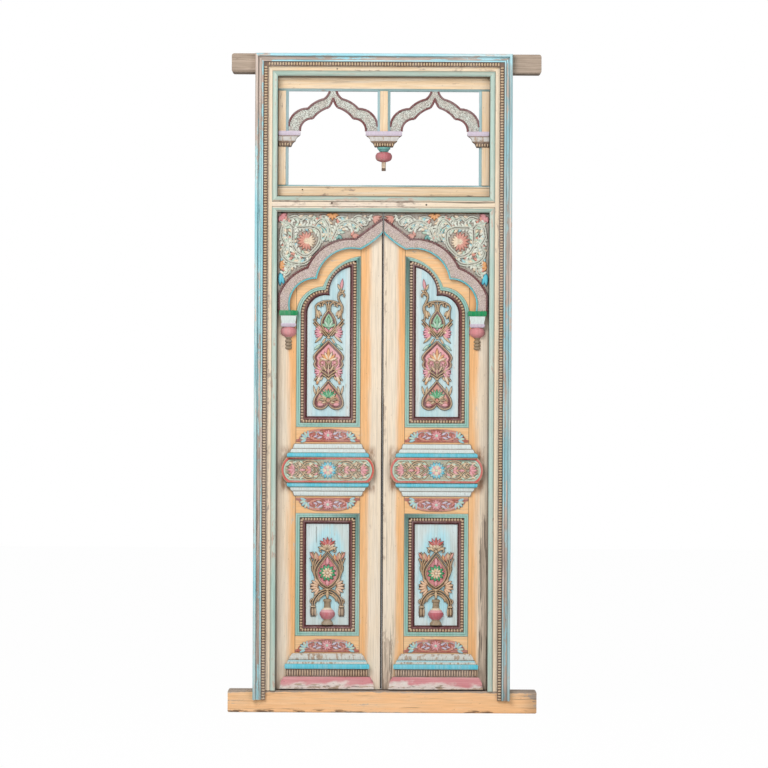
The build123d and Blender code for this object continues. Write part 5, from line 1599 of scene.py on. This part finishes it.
spandrel = Carving()
band_section = [(0.0, LEAF_FRONT), (0.0, -37), (0.07, -38.5), (0.15, -37.5), (0.17, -36.5), (0.5, -38)]
band_section += [(0.88, -36.5), (0.90, -39), (0.96, -41.5), (1.0, -39), (1.0, GROUND)]
# The first paint, on the band's inner side, is a painted shadow line.
band_paints = ["stem", "blue", "teal"] + ["arch_mauve"] * 3 + ["maroon"] * 4
spandrel.framed(band_line, band_section, band_paints, LEAF_FRONT, ground=-26, top=-37)
corner = outer_line[:-3] + [(SPANDREL_SIDE, outer_line[-4][1])]
corner += [(SPANDREL_SIDE, SPANDREL_TOP), (MEETING_GAP, SPANDREL_TOP)]
spandrel.board(corner, LEAF_FRONT, GROUND, "ground", 0.62)
for place, angle in evenly(outer_line, 9.5):
    spandrel.roll((max(place[0], 8), place[1]), 5.6, 3.2, angle + 38, -37, 4.2, "maroon")
print("arch band", len(inner_line), "steps")

# %% Vines
LOTUS, BOLD = (279, 1718), 9
vines = [
    [(329, 1767), (290, 1768), (253, 1767), (234, 1755), (230, 1739), (234, 1709)]
    + [(253, 1683), (279, 1665), (305, 1672), (327, 1698), (330, 1724), (329, 1767)],
    [(368, 1752), (372, 1735), (364, 1717), (357, 1703), (369, 1674), (353, 1648)]
    + [(320, 1636), (286, 1637), (262, 1654)],
    [(329, 1767), (345, 1780), (361, 1774), (369, 1757), (370, 1738)],
    [(253, 1767), (240, 1786), (222, 1797), (208, 1790), (197, 1763), (196, 1740), (190, 1716)],
    [(190, 1716), (175, 1748), (160, 1778), (130, 1791), (101, 1783), (78, 1762)],
    [(345, 1800), (318, 1806), (300, 1796), (284, 1806), (264, 1797), (248, 1806)],
    [(108, 1800), (92, 1808), (72, 1802), (60, 1788), (70, 1779), (80, 1786)],
    [(364, 1634), (344, 1620), (350, 1600), (366, 1594)],
    [(230, 1776), (212, 1762), (206, 1738), (212, 1720)],
    [(168, 1744), (150, 1768), (128, 1774), (110, 1764), (104, 1752)],
    [(236, 1806), (214, 1810), (196, 1800)],
    [(176, 1800), (156, 1808), (132, 1806)],
    [(378, 1790), (364, 1786), (352, 1792)],
    [(346, 1740), (348, 1722), (342, 1708), (346, 1690), (338, 1668)],
    [(290, 1652), (306, 1650), (322, 1654)],
    [(60, 1808), (44, 1804), (34, 1794)],
    [(330, 1632), (346, 1612), (362, 1606)],
]
print(len(vines), "vines")

# %% Foliage


def inside_corner(point):
    """True where a leaf's tip stays on the ground of the corner, clear of the arch and the lotus."""
    x, z = point
    if x > SPANDREL_SIDE - 2 or z > SPANDREL_TOP - 2 or math.dist(point, LOTUS) < 34:
        return False
    near = [(abs(line_x - x), line_z) for line_x, line_z in outer_line if abs(line_x - x) < 30]
    return all(z > line_z + 4 - 0.4 * off for off, line_z in near)


tints = "leaf mint leaf cream leaf leaf sky leaf cream leaf mint salmon".split()
sprouts = 0
for path in vines:
    for place, angle in evenly(path, 12.5):
        for lean in (52, -52):
            for length in (26, 19):
                if inside_corner(away(place, angle + lean, length)):
                    tint = tints[sprouts % len(tints)]
                    spandrel.petal(place, angle + lean, length, 12, GROUND, 5.5, tint)
                    sprouts += 1
                    break
# Painted shade: a wide dark line under each pair of bold vines.
spandrel.lines(vines[:BOLD], 10.2, GROUND, 3.0, "edge", tip=0.9)
pairs = [beside(path, shift) for path in vines[:BOLD] for shift in (-4.2, 4.2)]
spandrel.lines(pairs, 3.9, GROUND, 8.5, "leaf", tip=0.85)
spandrel.strands(vines[BOLD:], 4.6, GROUND, 7.5, "leaf")
# Paint, root, first and last angle, count, length and width
leaves = [
    ("salmon", LOTUS, -112, 112, 10, 38, 13),
    ("cream", LOTUS, 136, 224, 5, 35, 12),
    ("cream", LOTUS, 0, 324, 10, 20, 8),
    ("orange", (378, 1630), 130, 240, 4, 24, 12),
    ("orange", (186, 1818), 195, 345, 5, 26, 12),
    ("teal", (216, 1752), 60, 120, 2, 24, 10),
    ("teal", (160, 1742), 250, 300, 2, 26, 12),
    ("salmon", (112, 1744), 196, 250, 3, 30, 12),
    ("salmon", (40, 1806), 176, 240, 4, 36, 12),
    ("rose", (376, 1812), 170, 280, 5, 28, 14),
    ("blue", (376, 1604), 252, 270, 2, 52, 16),
]
for name, root, first, last, count, length, width in leaves:
    spandrel.fan(root, first, last, count, length, width, GROUND, 8.0, [name])
spandrel.knob(LOTUS, 8, GROUND, 9, "cream")
print("leaves along the vines", sprouts)
pair(spandrel, "spandrel", "grey_green_carving")

# %% [markdown]
# ## Drops under the arch's feet
# A green cap, a white block with a mauve ring, a pink bulb and a dark ringed stem, turned on a lathe and
# split in half. The cap and block are run through levels, and the turned part is spun half way round.

# %% Drops
DROP_MIDDLE = 344.0
drop = Carving()
# Level, half width, front and the paint above
cap_steps = [
    (1405, 23, -38, "lavender"),
    (1409, 27, -41, "lavender"),
    (1415, 28, -43, "lavender"),
    (1418, 25, -40, "white"),
    (1424, 25, -41, "white"),
    (1436, 28, -43, "white"),
    (1444, 28, -43, "white"),
    (1446, 31, -45, "deep_green"),
    (1449, 34, -47, "deep_green"),
    (1461, 34, -47, "deep_green"),
    (1465, 32, -45, "deep_green"),
]
drop.stepped(cap_steps, DROP_MIDDLE, LEAF_FRONT, ground=-14, top=-42)
bulb = [(0.0, 1323)]
for level in (1323, 1335, 1347):
    bulb += [(8, level), (12, level + 3), (13, level + 6), (12, level + 9)]
bulb += [(8, 1359), (8, 1362), (14, 1368), (16, 1371), (23, 1374), (28, 1381), (29, 1388)]
bulb += [(28, 1395), (23, 1402), (16, 1405), (0.0, 1406)]
drop.turned(bulb, DROP_MIDDLE, LEAF_FRONT, [(1366, "olive"), (1406, "rose")], 180)
pair(drop, "drop", "pink_paint")

# %% [markdown]
# ## Camera, light and floor
# The photograph was taken from straight ahead, far back, with a slight roll. The light is soft and
# comes from the front and a little above, as in a studio. Floor and background are white to the
# camera, and the floor keeps the shadow.

# %% Camera
DISTANCE, FRONT, PIXEL = 14.0, 0.05, 0.0036415
SENSOR, PHOTO_WIDTH = 36.0, 768
camera = bpy.data.objects.new("camera", bpy.data.cameras.new("camera"))
camera.data.sensor_width = SENSOR
camera.data.lens = SENSOR * (DISTANCE - FRONT) / (PHOTO_WIDTH * PIXEL)
camera.location = (0.0050, -DISTANCE, 1.1980)
camera.rotation_euler = (math.pi / 2, math.radians(-0.28), 0)
bpy.context.collection.objects.link(camera)
bpy.context.scene.camera = camera
print("lens", round(camera.data.lens, 1))

# %% Light and floor


def area_light(name, place, aim, size, power):
    lamp = bpy.data.lights.new(name, "AREA")
    lamp.shape = "RECTANGLE"
    lamp.size, lamp.size_y = size
    lamp.energy = power
    holder = bpy.data.objects.new(name, lamp)
    holder.location = place
    holder.rotation_euler = (Vector(aim) - Vector(place)).to_track_quat("-Z", "Y").to_euler()
    bpy.context.collection.objects.link(holder)


area_light("key", (-2.2, -4.6, 4.2), (0, 0, 1.2), (3.0, 3.0), 225)
area_light("fill", (3.0, -4.6, 2.2), (0, 0, 1.2), (3.0, 3.0), 80)

world = bpy.data.worlds.new("studio")
bpy.context.scene.world = world
world.use_nodes = True
sky_tree = world.node_tree
sky_tree.nodes.clear()
rays = wires(put(sky_tree, "LightPath"))
seen = most(rays["Is Camera Ray"], rays["Is Glossy Ray"], rays["Is Transmission Ray"])
dim = wire(sky_tree, "Background", {"Color": (1, 1, 1, 1), "Strength": 0.3})
bright = wire(sky_tree, "Background", {"Color": (1, 1, 1, 1), "Strength": 1.0})
mixed = wire(sky_tree, "MixShader", {0: seen, 1: dim, 2: bright})
put(sky_tree, "OutputWorld", {"Surface": mixed})

floor_mesh = bpy.data.meshes.new("floor")
floor_bm = bmesh.new()
bmesh.ops.create_grid(floor_bm, x_segments=1, y_segments=1, size=14.0)
floor_bm.to_mesh(floor_mesh)
floor_bm.free()
floor = bpy.data.objects.new("floor", floor_mesh)
floor_finish = bpy.data.materials.new("floor_white")
floor_finish.use_nodes = True
floor_tree = floor_finish.node_tree
floor_tree.nodes.clear()
shown = wire(floor_tree, "LightPath", output="Is Camera Ray") * 0.985
matt = wire(floor_tree, "BsdfDiffuse", {"Color": (0.86, 0.86, 0.86, 1)})
glow = wire(floor_tree, "Emission", {"Color": (1, 1, 1, 1), "Strength": 1.0})
mixed = wire(floor_tree, "MixShader", {0: shown, 1: matt, 2: glow})
put(floor_tree, "OutputMaterial", {"Surface": mixed})
floor_mesh.materials.append(floor_finish)
bpy.context.collection.objects.link(floor)
bpy.context.scene.view_settings.view_transform = "Standard"
print("studio ready", [lamp.name for lamp in bpy.data.lights])

# %% [markdown]
# ## Count of the modelled pieces
# The dressed door should fill the same box as its solids; this cell counts its modelled pieces and their
# triangles.

# %% Sizes
print(len(counts), "modelled pieces,", sum(counts.values()), "triangles")
